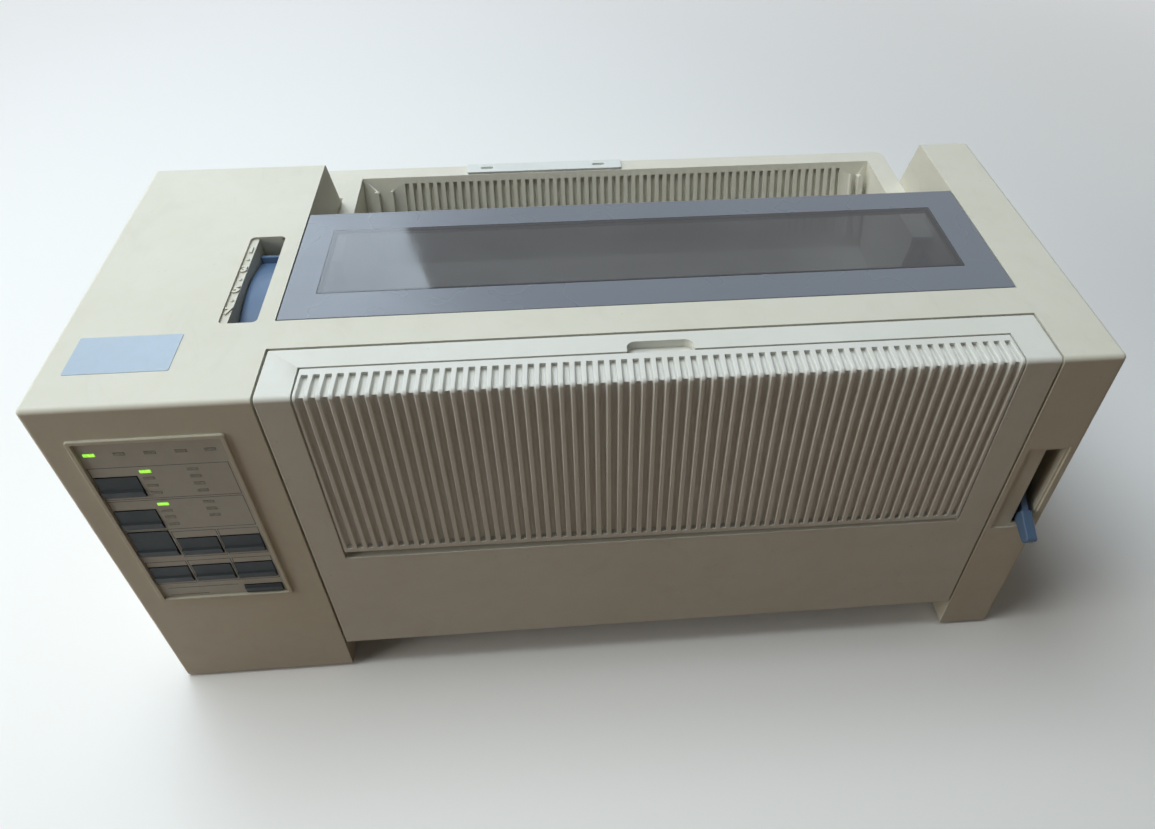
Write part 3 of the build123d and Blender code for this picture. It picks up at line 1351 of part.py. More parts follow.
with BuildPart() as power_inlet:
    block(inlet_x - inlet_w / 2, inlet_x + inlet_w / 2, case_d - inlet_l, case_d,
          inlet_h - inlet_height / 2, inlet_h + inlet_height / 2)
    half_w = inlet_w / 2 - inlet_wall
    half_h = inlet_height / 2 - inlet_wall
    block(inlet_x - half_w, inlet_x + half_w, case_d - inlet_l + inlet_floor, case_d + 1,
          inlet_h - half_h, inlet_h + half_h, Mode.SUBTRACT)
    for across, up in inlet_blades:
        x = inlet_x + across
        height = inlet_h + up
        block(x - inlet_blade_w / 2, x + inlet_blade_w / 2, case_d - inlet_l + inlet_floor / 2,
              case_d - inlet_blade_sunk, height - inlet_blade_h / 2, height + inlet_blade_h / 2)
finish(power_inlet, "power_inlet")

with BuildPart() as interface_connector:
    block(port_x - port_w / 2, port_x + port_w / 2, case_d - port_l, case_d,
          port_h - port_height / 2, port_h + port_height / 2)
    half_w = port_w / 2 - port_end_wall
    half_h = port_height / 2 - port_wall
    block(port_x - half_w, port_x + half_w, case_d - port_l + port_end_wall, case_d + 1,
          port_h - half_h, port_h + half_h, Mode.SUBTRACT)
finish(interface_connector, "interface_connector")

with BuildPart() as power_rocker:
    half_l = rocker_l / 2 - rocker_end_gap
    rocker_pivot = (rocker_x, rocker_d)
    face_x = -case_w / 2 - rocker_x
    outline = [
        (face_x - rocker_dip, -half_l), (face_x + rocker_crown, 0), (face_x - rocker_dip, half_l),
        (0, half_l), (0, -half_l),
    ]
    with BuildSketch(level_plane(rocker_h - rocker_w / 2 + running)):
        with Locations(Location((*rocker_pivot, 0), (0, 0, rocker_tilt))):
            with BuildLine(mode=Mode.PRIVATE) as rocker_line:
                Polyline(*outline, close=True)
            add(make_face(rocker_line.wire(), mode=Mode.PRIVATE))
    extrude(amount=rocker_w - 2 * running)
    post(rocker_x, rocker_d, rocker_h - rocker_w / 2 - rocker_ear_t, rocker_h + rocker_w / 2 + rocker_ear_t,
         rocker_pin_r)
finish(power_rocker, "power_rocker")
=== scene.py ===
"""Dresses the wide forms printer: soft moulded edges, finishes, small raised detail and the studio."""

from __future__ import annotations

import logging
import math
from dataclasses import dataclass, field
from typing import Sequence

import bpy
from mathutils import Matrix, Vector

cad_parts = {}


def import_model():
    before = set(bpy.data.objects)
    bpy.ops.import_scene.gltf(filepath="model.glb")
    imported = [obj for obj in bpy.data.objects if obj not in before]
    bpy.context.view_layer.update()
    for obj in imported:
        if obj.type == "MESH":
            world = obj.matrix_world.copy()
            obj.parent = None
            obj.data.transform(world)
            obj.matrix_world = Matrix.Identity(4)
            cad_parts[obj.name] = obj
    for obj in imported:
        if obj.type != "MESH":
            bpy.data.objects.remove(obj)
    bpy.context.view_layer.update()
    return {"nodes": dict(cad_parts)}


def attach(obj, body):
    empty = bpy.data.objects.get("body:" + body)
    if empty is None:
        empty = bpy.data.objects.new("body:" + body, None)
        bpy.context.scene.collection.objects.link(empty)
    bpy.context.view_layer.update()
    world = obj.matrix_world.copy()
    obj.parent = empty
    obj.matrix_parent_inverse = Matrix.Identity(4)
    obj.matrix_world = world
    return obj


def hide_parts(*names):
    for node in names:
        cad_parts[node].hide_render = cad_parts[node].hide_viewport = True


LOG = logging.getLogger("printer")
MM = 0.001
CASE_DEPTH = 304.0
FOOT_HEIGHT = 3.0

Colour = tuple[float, float, float]

# Places of the two colours and the result among the sockets of a mix node that is set to colour.
MIX_FIRST = 6
MIX_SECOND = 7
MIX_RESULT = 2


def srgb(red: int, green: int, blue: int) -> Colour:
    """Turn an eight bit display colour into the linear colour that shaders take.

    Args:
        red: Red from 0 to 255.
        green: Green from 0 to 255.
        blue: Blue from 0 to 255.

    Returns:
        The linear colour.
    """

    def linear(value: int) -> float:
        """Linear light of one eight bit channel."""
        share = value / 255
        return share / 12.92 if share <= 0.04045 else ((share + 0.055) / 1.055) ** 2.4

    return linear(red), linear(green), linear(blue)


def place(x: float, depth: float, height: float) -> Vector:
    """Point of the printer in metres.

    Args:
        x: Millimetres to the right of the middle.
        depth: Millimetres behind the front faces.
        height: Millimetres above the bottom of the case.

    Returns:
        The point in the CAD frame.
    """
    return Vector((x, depth - CASE_DEPTH / 2, height + FOOT_HEIGHT)) * MM


# ------------------------------------------------------------------------------ node graphs


class Graph:
    """A material's node tree, with short calls for the nodes that the finishes share."""

    def __init__(self, name: str) -> None:
        """Make an empty material with one principled shader."""
        self.material = bpy.data.materials.new(name)
        self.material.use_nodes = True
        self.tree = self.material.node_tree
        self.tree.nodes.clear()
        self.output = self.tree.nodes.new("ShaderNodeOutputMaterial")
        self.shader = self.tree.nodes.new("ShaderNodeBsdfPrincipled")
        self.tree.links.new(self.shader.outputs[0], self.output.inputs[0])
        self.coordinates = self.tree.nodes.new("ShaderNodeTexCoord")

    def link(self, source: bpy.types.NodeSocket, target: bpy.types.NodeSocket) -> None:
        """Join two sockets."""
        self.tree.links.new(source, target)

    def stretched(self, scale: Sequence[float]) -> bpy.types.NodeSocket:
        """Object coordinates stretched along the axes.

        Args:
            scale: Factor along each axis.

        Returns:
            The stretched coordinates.
        """
        mapping = self.tree.nodes.new("ShaderNodeMapping")
        mapping.inputs["Scale"].default_value = scale
        self.link(self.coordinates.outputs["Object"], mapping.inputs["Vector"])
        return mapping.outputs[0]

    def noise(
        self,
        size_mm: float,
        detail: float = 3.0,
        roughness: float = 0.55,
        distortion: float = 0.0,
        coordinates: bpy.types.NodeSocket | None = None,
    ) -> bpy.types.NodeSocket:
        """Noise whose blotches are about this size.

        Args:
            size_mm: Size of one blotch in millimetres.
            detail: Octaves of finer noise.
            roughness: Strength of the finer octaves.
            distortion: How far the pattern is warped.
            coordinates: Coordinates to read, or None for the object's own.

        Returns:
            The noise value.
        """
        node = self.tree.nodes.new("ShaderNodeTexNoise")
        node.inputs["Scale"].default_value = 1 / (size_mm * MM)
        node.inputs["Detail"].default_value = detail
        node.inputs["Roughness"].default_value = roughness
        node.inputs["Distortion"].default_value = distortion
        self.link(coordinates or self.coordinates.outputs["Object"], node.inputs["Vector"])
        return node.outputs[0]

    def ramp(
        self, source: bpy.types.NodeSocket, low: float, high: float, start: float = 0.0, end: float = 1.0
    ) -> bpy.types.NodeSocket:
        """Map a value between two limits onto another range, clamped.

        Args:
            source: The value to map.
            low: Value that gives start.
            high: Value that gives end.
            start: Result at and below low.
            end: Result at and above high.

        Returns:
            The mapped value.
        """
        node = self.tree.nodes.new("ShaderNodeMapRange")
        node.inputs["From Min"].default_value = low
        node.inputs["From Max"].default_value = high
        node.inputs["To Min"].default_value = start
        node.inputs["To Max"].default_value = end
        self.link(source, node.inputs["Value"])
        return node.outputs[0]

    def maths(
        self, operation: str, first: bpy.types.NodeSocket, second: bpy.types.NodeSocket | float
    ) -> bpy.types.NodeSocket:
        """Combine two values.

        Args:
            operation: Name of the sum, such as MULTIPLY.
            first: First value.
            second: Second value, a socket or a number.

        Returns:
            The result.
        """
        node = self.tree.nodes.new("ShaderNodeMath")
        node.operation = operation
        self.link(first, node.inputs[0])
        if isinstance(second, bpy.types.NodeSocket):
            self.link(second, node.inputs[1])
        else:
            node.inputs[1].default_value = second
        return node.outputs[0]

    def blend(
        self,
        factor: bpy.types.NodeSocket,
        first: bpy.types.NodeSocket | Colour,
        second: bpy.types.NodeSocket | Colour,
    ) -> bpy.types.NodeSocket:
        """Mix two colours by a factor.

        Args:
            factor: Share of the second colour.
            first: Colour at factor 0.
            second: Colour at factor 1.

        Returns:
            The mixed colour.
        """
        node = self.tree.nodes.new("ShaderNodeMix")
        node.data_type = "RGBA"
        self.link(factor, node.inputs[0])
        for socket, colour in ((node.inputs[MIX_FIRST], first), (node.inputs[MIX_SECOND], second)):
            if isinstance(colour, bpy.types.NodeSocket):
                self.link(colour, socket)
            else:
                socket.default_value = (*colour, 1.0)
        return node.outputs[MIX_RESULT]

    def facing(self, axis: int) -> bpy.types.NodeSocket:
        """Component of the surface normal along a fixed axis of the object.

        Args:
            axis: 0 for X, 1 for Y, 2 for Z.

        Returns:
            The component, from -1 to 1.
        """
        split = self.tree.nodes.new("ShaderNodeSeparateXYZ")
        self.link(self.coordinates.outputs["Normal"], split.inputs[0])
        return split.outputs[axis]

    def position(self, axis: int) -> bpy.types.NodeSocket:
        """Object coordinate along an axis, in metres."""
        split = self.tree.nodes.new("ShaderNodeSeparateXYZ")
        self.link(self.coordinates.outputs["Object"], split.inputs[0])
        return split.outputs[axis]

    def crevice(self, reach_mm: float) -> bpy.types.NodeSocket:
        """How open the surface is to its surroundings, from 0 in a corner to 1 in the open.

        Args:
            reach_mm: Distance over which neighbouring walls count.

        Returns:
            The openness.
        """
        node = self.tree.nodes.new("ShaderNodeAmbientOcclusion")
        node.samples = 6
        node.only_local = True
        node.inputs["Distance"].default_value = reach_mm * MM
        return node.outputs["AO"]

    def relief(
        self,
        height: bpy.types.NodeSocket,
        depth_mm: float,
        strength: float = 1.0,
        under: bpy.types.NodeSocket | None = None,
    ) -> bpy.types.NodeSocket:
        """Bump from a height value.

        Args:
            height: Height from 0 to 1.
            depth_mm: Depth that a height of 1 stands for.
            strength: Strength of the bump.
            under: Normal from a coarser bump, or None.

        Returns:
            The normal.
        """
        node = self.tree.nodes.new("ShaderNodeBump")
        node.inputs["Strength"].default_value = strength
        node.inputs["Distance"].default_value = depth_mm * MM
        self.link(height, node.inputs["Height"])
        if under is not None:
            self.link(under, node.inputs["Normal"])
        return node.outputs[0]

    def set(self, name: str, value: bpy.types.NodeSocket | float | Colour) -> None:
        """Give one of the shader's inputs a socket, a number or a colour."""
        socket = self.shader.inputs[name]
        if isinstance(value, bpy.types.NodeSocket):
            self.link(value, socket)
        elif isinstance(value, tuple):
            socket.default_value = (*value, 1.0)
        else:
            socket.default_value = value


# ------------------------------------------------------------------------------ finishes


@dataclass(frozen=True)
class Finish:
    """A surface finish that can dress any object."""

    name: str
    colour: Colour

    @property
    def title(self) -> str:
        """Name of the material, apart from those that come with the frame."""
        return f"{self.name}_finish"

    def build(self) -> bpy.types.Material:
        """Make the finish's material."""
        raise NotImplementedError

    def material(self) -> bpy.types.Material:
        """Material of this finish, made the first time it is asked for."""
        return bpy.data.materials.get(self.title) or self.build()

    def dress(self, piece: bpy.types.Object) -> bpy.types.Object:
        """Put this finish on every material slot of a piece.

        Args:
            piece: The object to dress.

        Returns:
            The same object.
        """
        material = self.material()
        if not piece.material_slots:
            piece.data.materials.append(material)
        for slot in piece.material_slots:
            slot.material = material
        return piece


@dataclass(frozen=True)
class MouldedPlastic(Finish):
    """Moulded plastic with a fine texture, uneven ageing, handling marks, and dirt with painted shade in its
    corners.
    """

    aged: Colour = (0.5, 0.5, 0.5)
    roughness: float = 0.5
    grain_mm: float = 0.8
    grain_depth_mm: float = 0.02
    ageing: float = 0.5
    specks: float = 0.5
    # Colour of the handling marks and specks, which also paints shade into corners and grooves.
    dirt_and_shade_colour: Colour = (0.12, 0.10, 0.07)
    corner_dirt_and_shade_share: float = 0.0
    corner_dirt_and_shade_reach_mm: float = 4.0
    dust_share: float = 0.0
    dust: Colour = (0.62, 0.60, 0.55)
    shine: float = 0.3

    def build(self) -> bpy.types.Material:
        """Make the moulded plastic's material."""
        graph = Graph(self.title)
        broad = graph.ramp(graph.noise(95, 2, 0.5, 0.4), 0.35, 0.7)
        patchy = graph.ramp(graph.noise(17, 4, 0.6, 0.3), 0.42, 0.72)
        age = graph.maths("MULTIPLY", graph.maths("ADD", broad, graph.maths("MULTIPLY", patchy, 0.6)),
                          self.ageing * 0.6)
        colour = graph.blend(age, self.colour, self.aged)
        smears = graph.noise(26, 5, 0.65, 1.2, graph.stretched((1.0, 0.45, 1.0)))
        colour = graph.blend(graph.ramp(smears, 0.56, 0.8, 0.0, 0.16 * self.specks), colour, self.dirt_and_shade_colour)
        fine = graph.ramp(graph.noise(2.6, 2, 0.5), 0.72, 0.77, 0.0, 0.45 * self.specks)
        sparse = graph.ramp(graph.noise(38, 1, 0.5), 0.5, 0.62)
        colour = graph.blend(graph.maths("MULTIPLY", fine, sparse), colour, self.dirt_and_shade_colour)
        if self.dust_share:
            upward = graph.ramp(graph.facing(2), 0.4, 0.95)
            film = graph.ramp(graph.noise(11, 5, 0.6), 0.3, 0.7, 0.35, 1.0)
            settled = graph.maths("MULTIPLY", upward, graph.maths("MULTIPLY", film, self.dust_share))
            colour = graph.blend(settled, colour, self.dust)
        # Darkens corners, grooves and slots by the ambient occlusion mask: painted shade, with some real
        # dirt.
        if self.corner_dirt_and_shade_share:
            corner = graph.ramp(graph.crevice(self.corner_dirt_and_shade_reach_mm), 0.35, 0.85, self.corner_dirt_and_shade_share, 0.0)
            colour = graph.blend(corner, colour, self.dirt_and_shade_colour)
        graph.set("Base Color", colour)
        rub = graph.noise(7, 4, 0.6)
        graph.set("Roughness", graph.ramp(rub, 0.3, 0.7, self.roughness - 0.07, self.roughness + 0.08))
        sink = graph.relief(graph.noise(60, 1), 0.12, 0.6)
        texture = graph.noise(self.grain_mm, 2, 0.6)
        graph.set("Normal", graph.relief(texture, self.grain_depth_mm, 0.8, sink))
        graph.set("Specular IOR Level", self.shine)
        return graph.material


@dataclass(frozen=True)
class SmokedPlastic(Finish):
    """Polished smoke tinted sheet that lets a little of what lies under it show."""

    clear: float = 0.2
    roughness: float = 0.12
    haze: Colour = (0.5, 0.5, 0.5)
    haze_share: float = 0.2

    def build(self) -> bpy.types.Material:
        """Make the smoked sheet's material."""
        graph = Graph(self.title)
        wiped = graph.noise(60, 2, 0.4, 0.0, graph.stretched((0.7, 1.0, 1.0)))
        dusty = graph.ramp(wiped, 0.35, 0.75, 0.0, self.haze_share)
        specks = graph.ramp(graph.noise(1.7, 2, 0.5), 0.70, 0.76, 0.0, self.haze_share * 1.6)
        graph.set("Base Color", graph.blend(graph.maths("MAXIMUM", dusty, specks), self.colour, self.haze))
        rubbed = graph.noise(40, 2, 0.4)
        graph.set("Roughness", graph.ramp(rubbed, 0.35, 0.75, self.roughness, self.roughness + 0.06))
        graph.set("Transmission Weight", self.clear)
        graph.set("IOR", 1.49)
        graph.set("Normal", graph.relief(graph.noise(85, 2), 0.15, 0.5))
        return graph.material


@dataclass(frozen=True)
class Rubber(Finish):
    """Ground rubber with a faint paper dust on it."""

    dust: Colour = (0.16, 0.155, 0.15)
    roughness: float = 0.62

    def build(self) -> bpy.types.Material:
        """Make the rubber's material."""
        graph = Graph(self.title)
        bands = graph.noise(9, 4, 0.6, 0.2, graph.stretched((3.0, 1.0, 1.0)))
        graph.set("Base Color", graph.blend(graph.ramp(bands, 0.45, 0.85, 0.0, 0.6), self.colour, self.dust))
        graph.set("Roughness", graph.ramp(bands, 0.3, 0.7, self.roughness - 0.1, self.roughness + 0.1))
        graph.set("Normal", graph.relief(graph.noise(0.5, 2), 0.02, 0.7))
        return graph.material


@dataclass(frozen=True)
class Steel(Finish):
    """Bare or plated steel, drawn or ground along one axis."""

    roughness: float = 0.28
    along: tuple[float, float, float] = (0.04, 1.0, 1.0)
    stain: Colour = (0.30, 0.27, 0.23)
    stain_share: float = 0.3
    grain_mm: float = 0.7
    metallic: float = 1.0

    def build(self) -> bpy.types.Material:
        """Make the steel's material."""
        graph = Graph(self.title)
        lines = graph.noise(self.grain_mm, 3, 0.6, 0.0, graph.stretched(self.along))
        spots = graph.ramp(graph.noise(12, 4, 0.6), 0.5, 0.8, 0.0, self.stain_share)
        graph.set("Base Color", graph.blend(spots, self.colour, self.stain))
        graph.set("Metallic", self.metallic)
        graph.set("Roughness", graph.ramp(lines, 0.3, 0.7, self.roughness - 0.06, self.roughness + 0.12))
        graph.set("Normal", graph.relief(lines, 0.01, 0.6))
        return graph.material


@dataclass(frozen=True)
class Film(Finish):
    """Printed film with a soft sheen and faint wear."""

    worn: Colour = (0.7, 0.7, 0.7)
    roughness: float = 0.35

    def build(self) -> bpy.types.Material:
        """Make the film's material."""
        graph = Graph(self.title)
        wear = graph.ramp(graph.noise(8, 4, 0.6, 0.6), 0.45, 0.8, 0.0, 0.5)
        graph.set("Base Color", graph.blend(wear, self.colour, self.worn))
        graph.set("Roughness", graph.ramp(graph.noise(3, 3), 0.3, 0.7, self.roughness, self.roughness + 0.15))
        graph.set("Normal", graph.relief(graph.noise(0.6, 2), 0.008, 0.6))
        return graph.material


@dataclass(frozen=True)
class Lens(Finish):
    """Small moulded lens of an indicator, which glows when it is lit."""

    glow: float = 0.0
    core: Colour = (1.0, 1.0, 1.0)

    def build(self) -> bpy.types.Material:
        """Make the lens's material."""
        graph = Graph(self.title)
        cloud = graph.ramp(graph.noise(1.6, 2), 0.35, 0.65)
        colour = graph.blend(cloud, self.colour, self.core)
        graph.set("Base Color", colour)
        graph.set("Roughness", 0.22)
        if self.glow:
            graph.link(colour, graph.shader.inputs["Emission Color"])
            graph.set("Emission Strength", self.glow)
        return graph.material


@dataclass(frozen=True)
class Laminate(Finish):
    """Lacquered circuit laminate with copper tracks, and dark parts standing on it."""

    track: Colour = (0.05, 0.20, 0.11)
    part: Colour = (0.02, 0.02, 0.022)
    part_worn: Colour = (0.05, 0.05, 0.05)
    brick_scale: float = 160.0
    track_share: float = 0.03
    top_mm: float = 18.8

    def build(self) -> bpy.types.Material:
        """Make the laminate's material."""
        graph = Graph(self.title)
        brick = graph.tree.nodes.new("ShaderNodeTexBrick")
        brick.inputs["Scale"].default_value = self.brick_scale
        brick.inputs["Mortar Size"].default_value = self.track_share
        brick.inputs["Color1"].default_value = (*self.colour, 1)
        brick.inputs["Color2"].default_value = (*self.colour, 1)
        brick.inputs["Mortar"].default_value = (*self.track, 1)
        graph.link(graph.coordinates.outputs["Object"], brick.inputs["Vector"])
        above = graph.ramp(graph.position(2), (self.top_mm - 0.1) * MM, (self.top_mm + 0.1) * MM)
        mottling = graph.ramp(graph.noise(5, 3), 0.4, 0.7, 0.0, 0.4)
        mottled = graph.blend(mottling, self.part, self.part_worn)
        graph.set("Base Color", graph.blend(above, brick.outputs[0], mottled))
        graph.set("Roughness", graph.ramp(graph.noise(6, 2), 0.3, 0.7, 0.3, 0.45))
        graph.set("Normal", graph.relief(brick.outputs[1], 0.03, 0.5))
        return graph.material


CASE_CREAM = MouldedPlastic(
    "case_cream", srgb(216, 214, 200), aged=srgb(200, 196, 176), roughness=0.5, specks=0.5,
    corner_dirt_and_shade_share=0.35, corner_dirt_and_shade_reach_mm=2.5, dust_share=0.25, dust=srgb(212, 212, 204), dirt_and_shade_colour=srgb(92, 80, 60),
)
COVER_WHITE = MouldedPlastic(
    "cover_white", srgb(222, 223, 216), aged=srgb(206, 204, 190), roughness=0.48, specks=0.5,
    corner_dirt_and_shade_share=0.35, corner_dirt_and_shade_reach_mm=2.5, dust_share=0.2, dust=srgb(218, 220, 218), dirt_and_shade_colour=srgb(96, 84, 66),
)
# The corner mask darkens its grooves strongly: painted shade in the grooves, with some real dirt.
GUIDE_RIBBED = MouldedPlastic(
    "guide_ribbed", srgb(222, 223, 218), aged=srgb(208, 206, 196), roughness=0.42, specks=0.6,
    corner_dirt_and_shade_share=0.6, corner_dirt_and_shade_reach_mm=2.4, dirt_and_shade_colour=srgb(84, 74, 58),
)
# The corner mask darkens its rib gaps: painted shade, with some real dirt.
GUIDE_BEIGE = MouldedPlastic(
    "guide_beige", srgb(222, 220, 207), aged=srgb(206, 201, 183), roughness=0.5, specks=0.7,
    corner_dirt_and_shade_share=0.25, corner_dirt_and_shade_reach_mm=2.0, dust_share=0.3, dust=srgb(206, 204, 194), dirt_and_shade_colour=srgb(86, 76, 58),
)
PLATE_WHITE = MouldedPlastic(
    "plate_white", srgb(222, 226, 224), aged=srgb(206, 207, 200), roughness=0.42, specks=0.5,
    corner_dirt_and_shade_share=0.3, dirt_and_shade_colour=srgb(96, 88, 72),
)
BEZEL_CREAM = MouldedPlastic(
    "bezel_cream", srgb(208, 206, 190), aged=srgb(184, 178, 158), roughness=0.42, specks=0.5,
    corner_dirt_and_shade_share=0.4, corner_dirt_and_shade_reach_mm=2.0, dirt_and_shade_colour=srgb(80, 72, 56),
)
# Its dark navy corner colour paints the shade that lies on the levers inside their slots.
LEVER_BLUE = MouldedPlastic(
    "lever_blue", srgb(88, 114, 146), aged=srgb(76, 100, 132), roughness=0.4, specks=0.3,
    corner_dirt_and_shade_share=0.3, dirt_and_shade_colour=srgb(30, 38, 52), corner_dirt_and_shade_reach_mm=3.0,
)
KEY_GREY = MouldedPlastic(
    "key_grey", srgb(24, 31, 34), aged=srgb(20, 26, 29), roughness=0.42, specks=0.35, grain_mm=0.5,
    corner_dirt_and_shade_share=0.2, dirt_and_shade_colour=srgb(24, 26, 28), dust=srgb(96, 100, 100),
)
BLACK_PLASTIC = MouldedPlastic(
    "black_plastic", srgb(38, 38, 40), aged=srgb(50, 49, 48), roughness=0.5, specks=0.3,
    dust_share=0.25, dust=srgb(92, 90, 86), dirt_and_shade_colour=srgb(20, 20, 20),
)
RIBBON_BLACK = MouldedPlastic(
    "ribbon_black", srgb(44, 44, 47), aged=srgb(54, 53, 52), roughness=0.4, specks=0.4,
    dust_share=0.2, dust=srgb(100, 98, 94), dirt_and_shade_colour=srgb(18, 18, 18),
)
NYLON_PALE = MouldedPlastic(
    "nylon_pale", srgb(222, 217, 200), aged=srgb(204, 197, 174), roughness=0.4, specks=0.5,
    corner_dirt_and_shade_share=0.4, corner_dirt_and_shade_reach_mm=1.5, dirt_and_shade_colour=srgb(70, 64, 54),
)
LID_SMOKE = SmokedPlastic(
    "lid_smoke", srgb(112, 119, 130), clear=0.10, roughness=0.26, haze=srgb(136, 142, 152), haze_share=0.15,
)
WINDOW_CLEAR = SmokedPlastic(
    "window_clear", srgb(102, 104, 110), clear=0.82, roughness=0.05, haze=srgb(140, 143, 148), haze_share=0.4,
)
RUBBER_BLACK = Rubber("rubber_black", srgb(40, 40, 42))
STEEL_BRIGHT = Steel("steel_bright", srgb(190, 190, 192))
STEEL_PLATED = Steel(
    "steel_plated", srgb(178, 176, 168), roughness=0.38, along=(1.0, 0.25, 1.0), grain_mm=3.0,
    stain_share=0.45,
)
HEAD_METAL = Steel(
    "head_metal", srgb(150, 152, 156), roughness=0.45, along=(1.0, 1.0, 1.0), grain_mm=0.5, stain_share=0.2,
)
MOTOR_METAL = Steel(
    "motor_metal", srgb(62, 62, 66), roughness=0.5, along=(1.0, 1.0, 1.0), grain_mm=1.0, metallic=0.4,
    stain=srgb(96, 92, 86), stain_share=0.3,
)
OVERLAY_FILM = Film("overlay_film", srgb(180, 178, 168), worn=srgb(166, 162, 150), roughness=0.38)
LABEL_FILM = Film("label_film", srgb(162, 180, 196), worn=srgb(152, 168, 182), roughness=0.3)
PRINT_INK = Film("print_ink", srgb(58, 56, 52), worn=srgb(84, 80, 72), roughness=0.4)
LENS_UNLIT = Lens("lens_unlit", srgb(140, 134, 114), core=srgb(118, 112, 96))
LENS_LIT = Lens("lens_lit", srgb(120, 225, 30), glow=0.9, core=srgb(190, 255, 90))
BOARD_GREEN = Laminate("board_green", srgb(24, 78, 48))


# ------------------------------------------------------------------------------ mesh calls


def only(*chosen: bpy.types.Object) -> None:
    """Select these objects alone and make the first one active."""
    bpy.ops.object.select_all(action="DESELECT")
    for piece in chosen:
        piece.select_set(True)
    bpy.context.view_layer.objects.active = chosen[0]


def settle(piece: bpy.types.Object, name: str) -> bpy.types.Object:
    """Put a piece's place into its mesh, so that its object sits at the origin.

    Args:
        piece: The finished object.
        name: Name to give it.

    Returns:
        The same object.
    """
    only(piece)
    bpy.ops.object.transform_apply(location=True, rotation=True, scale=True)
    piece.name = name
    piece.data.name = name
    return piece


def join(pieces: Sequence[bpy.types.Object], name: str) -> bpy.types.Object:
    """Join several pieces into one object with this name."""
    only(*pieces)
    if len(pieces) > 1:
        bpy.ops.object.join()
    return settle(bpy.context.view_layer.objects.active, name)


@dataclass(frozen=True)
class Softening:
    """Small radius along the sharp edges of a moulding, or none where its radius is 0."""

    radius_mm: float = 0.5
    segments: int = 2
    sharper_than_deg: float = 38.0
    level_deg: float = 0.6
    smooth_deg: float = 36.0


def softened(node: str, name: str, finish: Finish, body: str, edge: Softening) -> bpy.types.Object:
    """Copy a CAD node, give its edges a small radius, dress it and let it stand for the node.

    Args:
        node: The CAD node.
        name: Name of the new piece.
        finish: Its finish.
        body: The body that it rides on.
        edge: Radius along its sharp edges.

    Returns:
        The new piece.
    """
    source = bpy.data.objects[node]
    piece = bpy.data.objects.new(name, source.data.copy())
    bpy.context.scene.collection.objects.link(piece)
    only(piece)
    bpy.ops.object.mode_set(mode="EDIT")
    bpy.ops.mesh.select_all(action="SELECT")
    bpy.ops.mesh.remove_doubles(threshold=2e-6)
    if edge.radius_mm:
        bpy.ops.mesh.dissolve_limited(angle_limit=math.radians(edge.level_deg))
    bpy.ops.object.mode_set(mode="OBJECT")
    if edge.radius_mm:
        bevel = piece.modifiers.new("soft_edges", "BEVEL")
        bevel.width = edge.radius_mm * MM
        bevel.segments = edge.segments
        bevel.limit_method = "ANGLE"
        bevel.angle_limit = math.radians(edge.sharper_than_deg)
        bevel.use_clamp_overlap = False
        # Measured along the neighbouring edges, the radius throws up no stray points in tight corners.
        bevel.offset_type = "ABSOLUTE"
        bevel.miter_outer = "MITER_ARC"
        bpy.ops.object.modifier_apply(modifier=bevel.name)
    bpy.ops.object.shade_smooth_by_angle(angle=math.radians(edge.smooth_deg))
    level = piece.modifiers.new("level_faces", "WEIGHTED_NORMAL")
    level.weight = 100
    level.keep_sharp = True
    bpy.ops.object.modifier_apply(modifier=level.name)
    finish.dress(piece)
    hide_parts(node)
    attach(piece, body)
    LOG.info("%s stands for %s with %d faces", name, node, len(piece.data.polygons))
    return piece


# ------------------------------------------------------------------------------ sub-assemblies


@dataclass
class CarriedOver:
    """CAD nodes whose shape is right as it is, which only take a finish."""

    finishes: dict[str, Finish] = field(default_factory=dict)

    def dress(self, nodes: dict[str, bpy.types.Object]) -> None:
        """Dress every listed node.

        Args:
            nodes: The CAD nodes by name.
        """
        for name, finish in self.finishes.items():
            finish.dress(nodes[name])
            LOG.info("%s takes %s", name, finish.name)


@dataclass
class Mouldings:
    """The outer mouldings, copied from their CAD nodes, most of them with soft edges."""

    keys: int = 9
    fine: Softening = Softening(0.35, 2)
    plain: Softening = Softening(0.5, 2)
    ribbed: Softening = Softening(0.6, 3)
    sharp: Softening = Softening(0.0, smooth_deg=12.0)

    def build(self) -> None:
        """Make each moulding."""
        for node, name, finish, body, slot, edge in (
            ("top_cover", "case_moulding", CASE_CREAM, "case", "case_cream", self.plain),
            ("base_tray", "tray_moulding", CASE_CREAM, "case", "case_cream", self.sharp),
            ("front_cover", "front_cover_moulding", COVER_WHITE, "front_cover", "cover_white", self.plain),
            ("sheet_guide", "sheet_guide_moulding", GUIDE_RIBBED, "sheet_guide", "guide_beige", self.ribbed),
            ("rear_guide", "rear_guide_moulding", GUIDE_BEIGE, "case", "guide_beige", self.sharp),
            ("rear_slot_plate", "slot_plate_moulding", PLATE_WHITE, "case", "plate_white", self.fine),
            ("access_lid", "lid_frame_moulding", LID_SMOKE, "access_lid", "lid_smoke", self.plain),
            ("panel_bezel", "bezel_moulding", BEZEL_CREAM, "case", "cover_white", self.fine),
            ("thickness_lever", "thickness_lever_moulding", LEVER_BLUE, "thickness_lever", "lever_blue",
             self.plain),
            ("select_lever", "select_lever_moulding", LEVER_BLUE, "select_lever", "lever_blue", self.sharp),
        ):
            softened(node, name, finish, body, edge)
        for number in range(1, self.keys + 1):
            softened(f"panel_key_{number}", f"key_cap_{number}", KEY_GREY, f"key_{number}",
                     self.fine)


